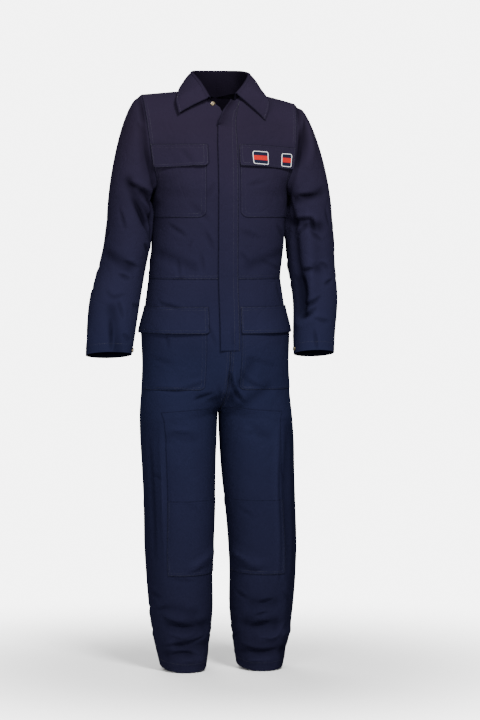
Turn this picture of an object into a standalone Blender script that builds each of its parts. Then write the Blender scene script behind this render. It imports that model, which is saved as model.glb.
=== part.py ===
"""Boiler suit: a worn, hollow work coverall of eleven sewn panels and their trims.

Metres, +Z up. The origin is at the base of the neck, level with the shoulder
seams' neck ends, where the wearer holds the suit up. The front faces -Y, the
wearer's right is -X. Every panel is a grid of points: each row is a cubic curve
from the panel's inner edge to its outer edge, and the rows follow a table with
one line for each section of the garment. Panels that are sewn together share
their edge points, so a seam is one line, parted by a hair's breadth.
"""

from math import cos, pi, radians, sin
from typing import NamedTuple

import bmesh
import bpy
import numpy as np
from mathutils import Matrix, Vector

# Driving dimensions
CLOTH = 0.0016          # wall of the main panels
TRIM = 0.0014           # wall of pockets, flaps, placket and patches
BADGE = 0.0010          # wall of the woven badges
SEAM = 0.0003           # gap between pieces that are sewn together
LAYER = 0.00035         # gap under a piece that lies on another
WAIST_Z = -0.482
HEM_Z = -1.486
UNDERARM = (0.1770, 0.0000, -0.2720)
NECK_POINT = (0.0780, 0.0000, 0.0000)
SHOULDER_POINT = (0.2000, 0.0000, -0.0200)
PLACKET_HALF = 0.026
PLACKET_END_Z = -0.665
STUD_RADIUS = 0.0058
STUD_HEIGHT = 0.0022
STUD_LIFT = 0.0010      # a flat cap on curved cloth touches it at the rim

RIGHT, LEFT = -1, 1
SIDE_NAME = {RIGHT: "right", LEFT: "left"}

for old in list(bpy.data.objects):
    bpy.data.objects.remove(old)


# Smooth tables -------------------------------------------------------------

def table_value(keys, values, at):
    """A smooth value between a table's rows, with no overshoot past them."""
    keys = np.asarray(keys, float)
    values = np.asarray(values, float)
    if keys[0] > keys[-1]:
        keys = keys[::-1]
        values = values[::-1]
    step = np.diff(keys)
    slope = np.diff(values, axis=0) / step.reshape((-1,) + (1,) * (values.ndim - 1))
    tangent = np.empty_like(values)
    tangent[0] = slope[0]
    tangent[-1] = slope[-1]
    before, after = slope[:-1], slope[1:]
    same_way = before * after > 0
    tangent[1:-1] = np.where(
        same_way,
        2 * before * after / np.where(same_way, before + after, 1.0),
        0.0,
    )
    at = float(np.clip(at, keys[0], keys[-1]))
    row = min(int(np.searchsorted(keys, at, side="right")) - 1, len(keys) - 2)
    width = step[row]
    u = (at - keys[row]) / width
    return (
        (2 * u**3 - 3 * u**2 + 1) * values[row]
        + (u**3 - 2 * u**2 + u) * width * tangent[row]
        + (3 * u**2 - 2 * u**3) * values[row + 1]
        + (u**3 - u**2) * width * tangent[row + 1]
    )


class Row(NamedTuple):
    """One section of a panel, for the wearer's left; x grows away from the centre."""
    level: float
    inner: tuple        # point on the inner edge
    inner_pull: tuple   # how the cloth leaves that edge
    outer: tuple        # point on the outer edge
    outer_pull: tuple   # how the cloth reaches that edge, seen from the edge


class Panel(NamedTuple):
    """A panel's table, and the levels at which its edges turn a corner."""
    rows: list
    inner_corner: float
    outer_corner: float


def edge_value(rows, column, corner, level):
    """A column's value at a level, smooth on each side of the edge's corner."""
    if corner is None:
        part = rows
    elif level <= corner:
        part = [row for row in rows if row.level <= corner]
    else:
        part = [row for row in rows if row.level >= corner]
    return table_value([row.level for row in part], [row[column] for row in part], level)


def row_curve(panel, level, across):
    """Points across one section, from the inner edge (0) to the outer edge (1)."""
    rows = panel.rows
    start = edge_value(rows, 1, panel.inner_corner, level)
    start_pull = edge_value(rows, 2, panel.inner_corner, level)
    end = edge_value(rows, 3, panel.outer_corner, level)
    end_pull = edge_value(rows, 4, panel.outer_corner, level)
    u = np.asarray(across, float)[:, None]
    return (
        (1 - u) ** 3 * start
        + 3 * u * (1 - u) ** 2 * (start + start_pull)
        + 3 * u**2 * (1 - u) * (end + end_pull)
        + u**3 * end
    )


# How the wearer stands ------------------------------------------------------

SWAY = (  # height, sideways shift of the whole section
    (0.06, -0.002), (-0.02, -0.004), (-0.27, -0.002), (-0.33, -0.003), (-0.41, -0.007),
    (-0.482, -0.014), (-0.62, -0.0125), (-0.80, -0.011), (-0.93, -0.0055),
    (-1.11, 0.0), (-1.32, 0.003), (-1.52, 0.004),
)
CENTRE_SWAY = (  # height, sideways shift of the centre line
    (0.06, 0.0), (-0.30, 0.001), (-0.482, 0.003), (-0.66, 0.006), (-0.75, 0.001),
    (-0.82, -0.006), (-0.93, -0.0055), (-1.11, 0.0), (-1.32, 0.003), (-1.52, 0.004),
)
SWAY_REACH = 0.15       # from here outwards the section's own shift holds
SHOULDER_DROP = 0.012   # the wearer's left shoulder is lower than the right one
DROP_FADES_Z = -0.25


def stance(points):
    """Shifts symmetric points into the way the wearer stands."""
    points = np.array(points, float)
    flat = points.reshape(-1, 3)
    for point in flat:
        outer = table_value(*zip(*SWAY), point[2])
        centre = table_value(*zip(*CENTRE_SWAY), point[2])
        away = min(1.0, abs(point[0]) / SWAY_REACH)
        shift = centre + (outer - centre) * away * away * (3 - 2 * away)
        share = min(1.0, max(0.0, 1 - point[2] / DROP_FADES_Z))
        reach = min(1.0, abs(point[0]) / SHOULDER_POINT[0])
        point[2] -= SHOULDER_DROP * share * reach**2 * np.sign(point[0])
        point[0] += shift
    return points


# Bodice ---------------------------------------------------------------------
# Levels: 0 waist seam, 2 chest pocket's bottom, 3 underarm, 5 and 6 chest flap's
# lower and upper edge, 8 neck corner of the front, 10 shoulder seam.

FRONT = (
    Row(0, (0, -.120, WAIST_Z), (.100, 0, 0), (.1715, .004, WAIST_Z), (0, -.075, 0)),
    Row(1, (0, -.124, -.405), (.103, 0, 0), (.1720, .002, -.405), (0, -.078, 0)),
    Row(2, (0, -.129, -.325), (.106, 0, 0), (.1730, .001, -.325), (0, -.080, 0)),
    Row(3, (0, -.131, -.272), (.108, 0, 0), UNDERARM, (-.006, -.072, 0)),
    Row(4, (0, -.130, -.238), (.108, 0, 0), (.1690, -.050, -.241), (-.030, -.042, 0)),
    Row(5, (0, -.127, -.193), (.100, 0, 0), (.1790, -.068, -.199), (-.055, -.026, 0)),
    Row(6, (0, -.118, -.138), (.095, 0, 0), (.1890, -.068, -.142), (-.058, -.018, .002)),
)
ARMHOLE_FRONT = (  # level, edge point, pull, between the flap and the shoulder
    (7, (.1945, -.058, -.090), (-.056, -.014, .006)),
    (8, (.1975, -.040, -.055), (-.052, -.010, .009)),
    (9, (.1992, -.020, -.033), (-.047, -.004, .009)),
    (10, SHOULDER_POINT, (-.043, .000, .008)),
)
NECK_FRONT = {  # the fronts' inner edge above the flaps, open at the neck
    RIGHT: (
        ((.001, -.108, -.085), (.080, .000, .004)),
        ((.017, -.100, -.044), (.060, .014, .014)),
        ((.050, -.076, -.018), (.050, .016, .008)),
        (NECK_POINT, (.040, .000, -.005)),
    ),
    LEFT: (
        ((.001, -.110, -.085), (.080, .000, .004)),
        ((.016, -.106, -.030), (.060, .014, .006)),
        ((.046, -.080, -.012), (.050, .016, .006)),
        (NECK_POINT, (.040, .000, -.005)),
    ),
}
BACK = (
    Row(0, (0, .104, WAIST_Z), (.098, 0, 0), (.1715, .004, WAIST_Z), (0, .070, 0)),
    Row(1, (0, .110, -.405), (.100, 0, 0), (.1720, .002, -.405), (0, .072, 0)),
    Row(2, (0, .118, -.325), (.102, 0, 0), (.1730, .001, -.325), (0, .075, 0)),
    Row(3, (0, .122, -.272), (.106, 0, 0), UNDERARM, (-.006, .072, 0)),
    Row(4, (0, .122, -.238), (.108, 0, 0), (.1710, .048, -.241), (-.030, .044, 0)),
    Row(5, (0, .120, -.193), (.104, 0, 0), (.1810, .066, -.199), (-.052, .030, 0)),
    Row(6, (0, .112, -.138), (.098, 0, 0), (.1890, .068, -.142), (-.056, .022, 0)),
    Row(7, (0, .100, -.080), (.090, 0, 0), (.1945, .058, -.090), (-.056, .016, .004)),
    Row(8, (0, .078, -.014), (.075, -.002, 0), (.1975, .040, -.055), (-.050, .010, .007)),
    Row(9, (.044, .060, -.004), (.050, -.004, -.002), (.1992, .020, -.033),
        (-.046, .003, .008)),
    Row(10, NECK_POINT, (.040, .000, -.005), SHOULDER_POINT, (-.043, .000, .008)),
)
BODICE_CELLS = (2, 2, 2, 2, 2, 2, 1, 2, 2, 1)   # grid cells between the levels


def levels_between(first, cells):
    """Grid levels: one row per level, and the cells asked for between them."""
    levels = [float(first)]
    for number, count in enumerate(cells):
        levels += [first + number + (cell + 1) / count for cell in range(count)]
    return levels


UNDERARM_LEVEL = 3
FLAP_LEVEL = 6
NECK_LEVEL = 8
BODICE_LEVELS = levels_between(0, BODICE_CELLS)


def front_panel(side):
    upper = [
        Row(level, inner, inner_pull, outer, outer_pull)
        for (level, outer, outer_pull), (inner, inner_pull)
        in zip(ARMHOLE_FRONT, NECK_FRONT[side])
    ]
    return Panel(list(FRONT) + upper, NECK_LEVEL, UNDERARM_LEVEL)


# Columns of the fronts: edge of the placket, inner edge of the pockets, their
# outer edge, and the panel's own edge. The first two stay upright over the
# pockets, and turn with the panel above them.
POCKET_INNER = {RIGHT: 0.055, LEFT: 0.031}
POCKET_OUTER_SHARE = 0.955
POCKET_CELLS = 6
COLUMNS = POCKET_CELLS + 4


def share_at_x(panel, level, x):
    """How far across a section the cloth passes the upright line at x."""
    fine = np.linspace(0, 1, 81)
    along = row_curve(panel, level, fine)[:, 0]
    peak = int(np.argmax(along))
    return float(np.interp(x, along[:peak + 1], fine[:peak + 1]))


def pocket_columns(panel, level, side):
    """Shares across one section at which the grid's columns run."""
    placket = share_at_x(panel, level, PLACKET_HALF)
    pocket = share_at_x(panel, level, POCKET_INNER[side])
    inside = np.linspace(pocket, POCKET_OUTER_SHARE, POCKET_CELLS + 1)
    return np.array([0.0, placket, *inside, 1.0])


def on_side(grid, side):
    """The grid on its own side of the body, in the wearer's stance."""
    return stance(np.array(grid, float) * (side, 1, 1))


def shoulder_columns(side):
    return pocket_columns(front_panel(side), FLAP_LEVEL, side)


def front_grid(side):
    panel = front_panel(side)
    return on_side([
        row_curve(panel, level, pocket_columns(panel, min(level, FLAP_LEVEL), side))
        for level in BODICE_LEVELS
    ], side)


def back_grid(side):
    """Half of the back; its columns meet the front's along the shoulder seam."""
    panel = Panel(BACK, NECK_LEVEL, UNDERARM_LEVEL)
    even = np.linspace(0, 1, COLUMNS)
    top = BODICE_LEVELS[-1]
    grid = []
    for level in BODICE_LEVELS:
        share = max(0.0, (level - FLAP_LEVEL) / (top - FLAP_LEVEL))
        columns = even + (shoulder_columns(side) - even) * share
        grid.append(row_curve(panel, level, columns))
    return on_side(grid, side)


# Trousers ---------------------------------------------------------------------
# The level of a row is its height. Above the crotch the inner edge is the centre
# seam, and below it the inseam. The outer edge is the side seam.

LEG_EDGES = (  # height, inseam x, side seam x, seams' y
    (-.900, .0060, .2000, .004), (-.980, .0100, .1985, .004), (-1.048, .0140, .1980, .002),
    (-1.162, .0213, .1990, .000), (-1.238, .0240, .1960, .000), (-1.320, .0230, .1900, .003),
    (-1.400, .0290, .1800, .006), (-1.450, .0340, .1710, .006), (HEM_Z, .0410, .1610, .004),
)
LEG_DEPTHS = (  # height, front depth, back depth, measured from the seams
    (-.900, .108, .117), (-.980, .106, .108), (-1.048, .104, .100), (-1.162, .100, .094),
    (-1.238, .096, .094), (-1.320, .090, .094), (-1.400, .084, .090), (HEM_Z, .080, .084),
)
HEM_DIP = 0.010         # the front of the hem hangs lower than the back
HALF_RING_PULL = 1.34   # length of a pull that carries a half ring to its full depth

LEG_FRONT_TOP = (
    Row(WAIST_Z, (0, -.120, WAIST_Z), (.100, 0, 0), (.1715, .004, WAIST_Z), (0, -.075, 0)),
    Row(-.552, (0, -.126, -.552), (.107, 0, 0), (.1815, .004, -.552), (0, -.080, 0)),
    Row(-.621, (0, -.130, -.621), (.112, 0, 0), (.1925, .004, -.621), (0, -.085, 0)),
    Row(-.700, (0, -.127, -.700), (.112, 0, 0), (.1900, .004, -.700), (0, -.085, 0)),
    Row(-.767, (0, -.114, -.765), (.100, -.018, 0), (.1930, .004, -.767), (0, -.093, 0)),
    Row(-.805, (0, -.086, -.795), (.074, -.056, .004), (.1960, .004, -.805), (0, -.110, 0)),
    Row(-.827, (0, -.046, -.815), (.044, -.106, .006), (.1980, .004, -.827), (0, -.124, 0)),
    Row(-.850, (.0015, .004, -.826), (.011, -.150, -.006), (.1990, .004, -.850),
        (0, -.144, 0)),
)
LEG_BACK_TOP = (
    Row(WAIST_Z, (0, .104, WAIST_Z), (.098, 0, 0), (.1715, .004, WAIST_Z), (0, .070, 0)),
    Row(-.552, (0, .114, -.552), (.104, 0, 0), (.1815, .004, -.552), (0, .075, 0)),
    Row(-.621, (0, .125, -.621), (.110, 0, 0), (.1925, .004, -.621), (0, .080, 0)),
    Row(-.700, (0, .130, -.700), (.112, 0, 0), (.1900, .004, -.700), (0, .085, 0)),
    Row(-.767, (0, .121, -.765), (.102, .019, 0), (.1930, .004, -.767), (0, .094, 0)),
    Row(-.805, (0, .098, -.797), (.080, .056, .004), (.1960, .004, -.805), (0, .113, 0)),
    Row(-.827, (0, .056, -.817), (.046, .109, .006), (.1980, .004, -.827), (0, .129, 0)),
    Row(-.850, (.0015, .004, -.826), (.011, .156, -.006), (.1990, .004, -.850), (0, .151, 0)),
)
# Heights of the grid's rows: pocket flap, pocket, knee patch and its opening have
# their edges on rows, and the ankle's folds get closer rows.
LEG_HEIGHTS = (
    WAIST_Z, -.517, -.552, -.587, -.621, -.660, -.700, -.735, -.767, -.788, -.805,
    -.827, -.850, -.880, -.915, -.958, -1.003, -1.048, -1.096, -1.144, -1.192, -1.238,
    -1.272, -1.304, -1.332, -1.358, -1.382, -1.404, -1.426, -1.448, -1.468, HEM_Z,
)
CROTCH_LEVEL = -.850
HIP_POCKET_Z = -.767
KNEE_PATCH_Z = -.827
KNEE_COLUMNS = np.array([0, .10, .20, .30, .40, .50, .59, .67, .84, 1.0])
PATCH_OUTER_COLUMN = 7


def leg_panel(front):
    """A trouser panel, with its lower rows worked out from the leg's own tables."""
    rows = list(LEG_FRONT_TOP if front else LEG_BACK_TOP)
    top = LEG_DEPTHS[0][0]
    for height, front_depth, back_depth in LEG_DEPTHS:
        inseam_x, side_x, seam_y = table_value(
            [row[0] for row in LEG_EDGES], [row[1:] for row in LEG_EDGES], height
        )
        depth = -front_depth if front else back_depth
        low = (-HEM_DIP if front else HEM_DIP) * (height - top) / (HEM_Z - top)
        pull = (0, depth * HALF_RING_PULL, low * HALF_RING_PULL)
        rows.append(Row(height, (inseam_x, seam_y, height), pull,
                        (side_x, seam_y, height), pull))
    return Panel(rows, CROTCH_LEVEL, None)


def leg_front_grid(side):
    panel = leg_panel(True)
    grid = []
    for height in LEG_HEIGHTS:
        hip = pocket_columns(panel, max(height, HIP_POCKET_Z), side)
        share = (HIP_POCKET_Z - height) / (HIP_POCKET_Z - KNEE_PATCH_Z)
        share = min(1.0, max(0.0, share))
        grid.append(row_curve(panel, height, hip + (KNEE_COLUMNS - hip) * share))
    return on_side(grid, side)


def leg_back_grid(side):
    panel = leg_panel(False)
    columns = np.linspace(0, 1, COLUMNS)
    return on_side([row_curve(panel, height, columns) for height in LEG_HEIGHTS], side)


# Sleeves ----------------------------------------------------------------------

SLEEVES = {  # height, centre x outwards, centre y, half width, half depth, forward lean
    RIGHT: (
        (-.330, .2350, .004, .0590, .070, 0), (-.385, .2400, .005, .0610, .068, 1),
        (-.434, .2500, .006, .0612, .066, 3),
        (-.538, .2760, -.012, .0660, .056, 9), (-.642, .2920, -.040, .0620, .046, 13),
        (-.676, .2970, -.050, .0595, .043, 14),
    ),
    LEFT: (
        (-.330, .2335, .004, .0620, .072, 0), (-.385, .2375, .005, .0640, .069, 1),
        (-.434, .2405, .006, .0625, .066, 3),
        (-.538, .2487, -.012, .0585, .056, 9), (-.642, .2400, -.040, .0545, .048, 13),
        (-.676, .2380, -.050, .0530, .045, 14),
    ),
}
CAP_SHARES = (0, .10, .22, .36, .52, .68, .84)
SLEEVE_HEIGHTS = (
    -.330, -.350, -.370, -.390, -.410, -.430, -.450, -.472, -.496, -.522, -.550, -.578,
    -.606, -.632, -.655, -.676,
)


def sleeve_ring(side, height, angle):
    """A point of the sleeve; the angle runs from its outer line over the front."""
    table = SLEEVES[side]
    x, y, half_width, half_depth, lean = table_value(
        [row[0] for row in table], [row[1:] for row in table], height
    )
    lean = radians(lean)
    forward = half_depth * sin(angle)
    return np.array([
        side * (x + half_width * cos(angle)),
        y - forward * cos(lean),
        height + forward * sin(lean),
    ])


def sleeve_cap_pull(side, angle):
    """The way the sleeve leaves the armhole: outwards on top, down underneath."""
    front = sin(angle)
    return np.array([
        side * (.102 + .034 * cos(angle)),
        -.030 * front,
        -.033 - .057 * abs(front),
    ])


def armhole(side):
    """The armhole's points from the shoulder over the front, and their angles."""
    first = BODICE_LEVELS.index(UNDERARM_LEVEL)
    front_edge = front_grid(side)[first:, -1]
    back_edge = back_grid(side)[first:, -1]
    loop = np.concatenate([front_edge[::-1], back_edge[1:]])
    steps = np.linalg.norm(np.diff(loop, axis=0), axis=1)
    halfway = len(front_edge) - 1
    walked = np.concatenate([[0], np.cumsum(steps)])
    angles = np.where(
        np.arange(len(loop)) <= halfway,
        pi * walked / walked[halfway],
        pi + pi * (walked - walked[halfway]) / (walked[-1] - walked[halfway]),
    )
    return loop, angles


def sleeve_grid(side):
    loop, angles = armhole(side)
    bicep = SLEEVE_HEIGHTS[0]
    grid = []
    for u in CAP_SHARES:
        ring = []
        for point, angle in zip(loop, angles):
            end = sleeve_ring(side, bicep, angle)
            leave = sleeve_cap_pull(side, angle)
            arrive = np.array([side * .012, 0, -1.2 * (point[2] - end[2])])
            ring.append(
                (2 * u**3 - 3 * u**2 + 1) * point
                + (u**3 - 2 * u**2 + u) * leave
                + (3 * u**2 - 2 * u**3) * end
                + (u**3 - u**2) * arrive
            )
        grid.append(ring)
    for height in SLEEVE_HEIGHTS:
        grid.append([sleeve_ring(side, height, angle) for angle in angles])
    grid = np.array(grid)
    grid[:, -1] = grid[:, 0]
    return grid


# Collar -----------------------------------------------------------------------

class Station(NamedTuple):
    """One section of the collar: the top of its roll, and the edge of its fall."""
    place: float        # 0 right front, 2 right shoulder, 4 back, 6 left shoulder, 8
    roll: tuple
    edge: tuple


COLLAR = (
    Station(0, (-.045, -.101, -.018), (-.121, -.088, -.060)),
    Station(1, (-.060, -.078, .014), (-.126, -.072, -.028)),
    Station(2, (-.074, -.014, .046), (-.103, -.008, .010)),
    Station(3, (-.056, .052, .054), (-.082, .088, .004)),
    Station(4, (0, .076, .055), (0, .112, -.010)),
    Station(5, (.056, .052, .054), (.082, .088, .002)),
    Station(6, (.073, -.014, .046), (.096, -.010, .006)),
    Station(7, (.048, -.085, .015), (.116, -.076, -.034)),
    Station(8, (.024, -.109, -.009), (.103, -.090, -.077)),
)
COLLAR_STARTS = {RIGHT: 0.22, LEFT: 0.04}   # share of the front neckline left bare
COLLAR_PLACES = np.concatenate([
    np.linspace(0, 2, 7), np.linspace(2, 6, 11)[1:], np.linspace(6, 8, 7)[1:],
])
ROLL_RADIUS = 0.0035    # half the space between the stand and the fall
ROLL_COLUMN = 3         # the collar's column of points along the top of its roll


def on_line(points, share):
    """A point on a chain of straight stretches, by its share of the length."""
    walked = np.concatenate([
        [0], np.cumsum(np.linalg.norm(np.diff(points, axis=0), axis=1))
    ])
    return np.array([
        np.interp(share * walked[-1], walked, points[:, axis]) for axis in range(3)
    ])


def neckline(skins, place):
    """The point of the neckline that a place of the collar is sewn to."""
    first = BODICE_LEVELS.index(NECK_LEVEL)
    side = RIGHT if place <= 4 else LEFT
    from_front = place if side == RIGHT else 8 - place
    if from_front <= 2:
        edge = skins["front_" + SIDE_NAME[side]][0][first:, 0]
        bare = COLLAR_STARTS[side]
        return on_line(edge, bare + (1 - bare) * from_front / 2)
    edge = skins["back_" + SIDE_NAME[side]][0][first:, 0]
    return on_line(edge[::-1], (from_front - 2) / 2)


def collar_grid(skins):
    keys = [station.place for station in COLLAR]
    up = np.array([0, 0, 1.0])
    grid = []
    for place in COLLAR_PLACES:
        roll = table_value(keys, [station.roll for station in COLLAR], place)
        edge = table_value(keys, [station.edge for station in COLLAR], place)
        base = neckline(skins, place)
        base += SEAM * (roll - base) / np.linalg.norm(roll - base)
        out = (edge - roll) * (1, 1, 0)
        out /= np.linalg.norm(out)
        inner = roll - ROLL_RADIUS * (out + up)
        outer = roll + ROLL_RADIUS * (out - up)
        middle = (outer + edge) / 2 + ROLL_RADIUS * out
        grid.append([
            base, (base + inner) / 2, inner, roll, outer,
            (outer + middle) / 2, middle, (middle + edge) / 2, edge,
        ])
    return np.array(grid)


# Folds ------------------------------------------------------------------------

class Fold(NamedTuple):
    """A ridge (depth above 0) or a trough between two points of the front or back."""
    face: str
    start: tuple        # x, z
    end: tuple          # x, z
    width: float
    depth: float


FOLDS = (
    # Wearer's right sleeve: pulls at the elbow's bend, and the forearm's long break.
    Fold("front", (-.250, -.235), (-.200, -.335), .013, -.007),
    Fold("front", (-.212, -.262), (-.176, -.292), .012, -.005),
    Fold("front", (-.300, -.420), (-.245, -.455), .014, -.005),
    Fold("front", (-.292, -.560), (-.276, -.676), .014, -.005),
    Fold("back", (-.275, -.330), (-.215, -.375), .014, -.006),
    Fold("back", (-.285, -.430), (-.225, -.415), .013, -.006),
    Fold("back", (-.300, -.520), (-.250, -.480), .014, -.005),
    # Wearer's left sleeve.
    Fold("front", (.188, -.280), (.255, -.262), .012, -.006),
    Fold("front", (.180, -.337), (.250, -.352), .013, -.007),
    Fold("front", (.212, -.462), (.250, -.458), .012, -.005),
    Fold("front", (.204, -.490), (.208, -.570), .016, -.008),
    Fold("front", (.196, -.600), (.236, -.580), .012, .005),
    Fold("back", (.275, -.330), (.215, -.375), .014, -.006),
    Fold("back", (.285, -.425), (.225, -.440), .013, -.006),
    Fold("back", (.280, -.520), (.225, -.490), .014, -.005),
    # Bodice: slack above the waist, and the back's drape from the shoulders.
    Fold("front", (-.165, -.420), (-.090, -.455), .014, -.004),
    Fold("front", (.060, -.450), (.150, -.420), .014, -.004),
    Fold("back", (-.150, -.230), (-.100, -.420), .020, -.006),
    Fold("back", (.150, -.240), (.095, -.410), .020, -.006),
    Fold("back", (-.110, -.450), (.020, -.440), .015, -.005),
    Fold("back", (.030, -.460), (.130, -.445), .015, -.004),
    # Seat and crotch.
    Fold("front", (.012, -.800), (.062, -.700), .013, -.006),
    Fold("front", (.035, -.815), (.110, -.760), .013, -.005),
    Fold("front", (-.020, -.795), (-.070, -.790), .012, -.004),
    Fold("back", (-.020, -.800), (-.110, -.745), .016, -.008),
    Fold("back", (.020, -.800), (.115, -.750), .016, -.008),
    Fold("back", (-.030, -.835), (-.150, -.860), .016, -.007),
    Fold("back", (.030, -.835), (.150, -.855), .016, -.007),
    # Knees and shins.
    Fold("front", (-.150, -.890), (-.085, -.893), .014, -.004),
    Fold("front", (.075, -.872), (.105, -.890), .014, -.004),
    Fold("front", (-.035, -1.190), (-.085, -1.222), .014, .006),
    Fold("front", (.035, -1.188), (.080, -1.214), .014, .006),
    Fold("back", (-.150, -1.060), (-.060, -1.085), .018, -.008),
    Fold("back", (.060, -1.060), (.150, -1.090), .018, -.008),
    Fold("back", (-.140, -1.140), (-.050, -1.125), .017, -.006),
    Fold("back", (.055, -1.150), (.145, -1.135), .017, -.006),
    # Ankles, where the spare length stacks up.
    Fold("front", (-.150, -1.330), (-.080, -1.345), .014, -.005),
    Fold("front", (-.145, -1.374), (-.050, -1.378), .014, -.009),
    Fold("front", (-.120, -1.424), (-.035, -1.430), .013, -.007),
    Fold("front", (-.150, -1.452), (-.090, -1.446), .012, -.006),
    Fold("front", (-.110, -1.468), (-.060, -1.466), .012, .005),
    Fold("front", (.070, -1.322), (.130, -1.322), .014, -.006),
    Fold("front", (.055, -1.376), (.135, -1.376), .014, -.009),
    Fold("front", (.095, -1.412), (.175, -1.398), .013, .006),
    Fold("front", (.050, -1.446), (.170, -1.446), .012, -.007),
    Fold("front", (.070, -1.468), (.115, -1.468), .012, .005),
    Fold("back", (-.145, -1.350), (-.050, -1.365), .016, -.008),
    Fold("back", (-.140, -1.420), (-.045, -1.410), .015, -.008),
    Fold("back", (.055, -1.345), (.150, -1.365), .016, -.008),
    Fold("back", (.050, -1.410), (.150, -1.425), .015, -.008),
)


def fold_depth(point, normal):
    """How far the folds move the cloth outwards at a point."""
    depth = 0.0
    here = point[[0, 2]]
    for fold in FOLDS:
        facing = -normal[1] if fold.face == "front" else normal[1]
        start = np.array(fold.start)
        along = np.array(fold.end) - start
        share = np.clip(np.dot(here - start, along) / np.dot(along, along), 0, 1)
        gap = np.linalg.norm(here - start - share * along)
        if facing > 0 and gap < 3 * fold.width:
            depth += fold.depth * min(1.0, 2 * facing) * np.exp(-(gap / fold.width) ** 2)
    return depth


# Sewn skins and their walls -----------------------------------------------------

def grid_normals(grid, middle):
    """Area-weighted normals at a grid's points, facing away from the middle."""
    total = np.zeros_like(grid)
    first = np.cross(grid[1:, :-1] - grid[:-1, :-1], grid[:-1, 1:] - grid[:-1, :-1])
    second = np.cross(grid[:-1, 1:] - grid[1:, 1:], grid[1:, :-1] - grid[1:, 1:])
    for face, corners in ((first, ((0, 0), (1, 0), (0, 1))),
                          (second, ((1, 1), (0, 1), (1, 0)))):
        for down, over in corners:
            rows, columns = face.shape[:2]
            total[down:down + rows, over:over + columns] += face
    if np.sum(total * (grid - middle)) < 0:
        total = -total
    return total


def sewn_normals(grids):
    """Unit normals for panels that share edges: a shared point has one normal."""
    totals = {}
    for grid, middle in grids.values():
        for point, normal in zip(grid.reshape(-1, 3),
                                 grid_normals(grid, middle).reshape(-1, 3)):
            key = tuple(np.round(point, 5))
            totals[key] = totals.get(key, 0) + normal
    result = {}
    for name, (grid, _) in grids.items():
        normals = np.array([totals[tuple(np.round(p, 5))] for p in grid.reshape(-1, 3)])
        normals /= np.linalg.norm(normals, axis=1)[:, None]
        result[name] = normals.reshape(grid.shape)
    return result


def limb_middle(grid):
    """The middle of each row, which outward normals point away from."""
    return grid.mean(axis=1, keepdims=True)


def body_middle(grid):
    """The middle of each row, on the plane between front and back."""
    return limb_middle(grid) * (1, 0, 1)


def garment_skins():
    """Each panel's outer points and normals, folded and sewn to its neighbours."""
    grids = {}
    for side, name in SIDE_NAME.items():
        grids["front_" + name] = front_grid(side)
        grids["back_" + name] = back_grid(side)
        grids["leg_front_" + name] = leg_front_grid(side)
        grids["leg_back_" + name] = leg_back_grid(side)
        grids["sleeve_" + name] = sleeve_grid(side)

    def with_middles(grids):
        return {
            name: (grid, limb_middle(grid) if "sleeve" in name else body_middle(grid))
            for name, grid in grids.items()
        }

    normals = sewn_normals(with_middles(grids))
    for name, grid in grids.items():
        flat = zip(grid.reshape(-1, 3), normals[name].reshape(-1, 3))
        moved = np.array([point + normal * fold_depth(point, normal)
                          for point, normal in flat])
        grids[name] = moved.reshape(grid.shape)
    normals = sewn_normals(with_middles(grids))
    return {name: (grid, normals[name]) for name, grid in grids.items()}


def drawn_in(grid, amount, closed=False, inner_from=0):
    """The grid with its edges moved inwards along the cloth by an amount.

    A closed grid has no edge between its first and last column. The first column
    is an edge from the row inner_from on: below it, another half joins there.
    """
    grid = grid.copy()

    def shifted(edge, inside):
        way = inside - edge
        return edge + amount * way / np.linalg.norm(way, axis=-1, keepdims=True)

    grid[0] = shifted(grid[0], grid[1])
    grid[-1] = shifted(grid[-1], grid[-2])
    if not closed:
        free = inner_from + 1 if inner_from else 0
        grid[free:, 0] = shifted(grid[free:, 0], grid[free:, 1])
        grid[:, -1] = shifted(grid[:, -1], grid[:, -2])
    if inner_from:
        grid[inner_from, 0] = shifted(grid[inner_from, 0], grid[inner_from - 1, 0])
    return grid


def starts_lower(start, end):
    """Which way a rim's diagonal runs, so that both sides of a seam twist alike."""
    way = end - start
    return way[2] > 0 if abs(way[2]) > SEAM else way[0] > 0


def wall_mesh(name, *layers):
    """One closed wall between pairs of grids, inner and outer, with rims all round.

    Points of the outer grids that coincide are one point, so a closed grid or two
    halves make one wall.
    """
    numbers, inner_points, outer_points, faces = {}, [], [], []
    for inner, outer in layers:
        rows, columns = outer.shape[:2]
        index = np.empty((rows, columns), int)
        for row in range(rows):
            for column in range(columns):
                key = tuple(np.round(outer[row, column], 6))
                if key not in numbers:
                    numbers[key] = len(outer_points)
                    outer_points.append(outer[row, column])
                    inner_points.append(inner[row, column])
                index[row, column] = numbers[key]
        for row in range(rows - 1):
            for column in range(columns - 1):
                a, b = index[row, column], index[row, column + 1]
                c, d = index[row + 1, column + 1], index[row + 1, column]
                faces += [(a, b, d), (b, c, d)]
    count = len(outer_points)
    sides = {(face[n], face[n - 2]) for face in faces for n in range(3)}
    rims = []
    for a, b in sides:
        if (b, a) in sides:
            continue
        if starts_lower(outer_points[a], outer_points[b]):
            rims += [(b, a, a + count), (b, a + count, b + count)]
        else:
            rims += [(b, a, b + count), (a, a + count, b + count)]
    inner_faces = [(c + count, b + count, a + count) for a, b, c in faces]
    mesh = bpy.data.meshes.new(name)
    mesh.from_pydata(np.array(outer_points + inner_points).tolist(), [],
                     [tuple(map(int, face)) for face in faces + inner_faces + sorted(rims)])
    work = bmesh.new()
    work.from_mesh(mesh)
    if work.calc_volume(signed=True) < 0:
        bmesh.ops.reverse_faces(work, faces=work.faces)
    work.to_mesh(mesh)
    work.free()
    return mesh


# Trims: each is cut from the points of the cloth under it ------------------------

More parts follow.
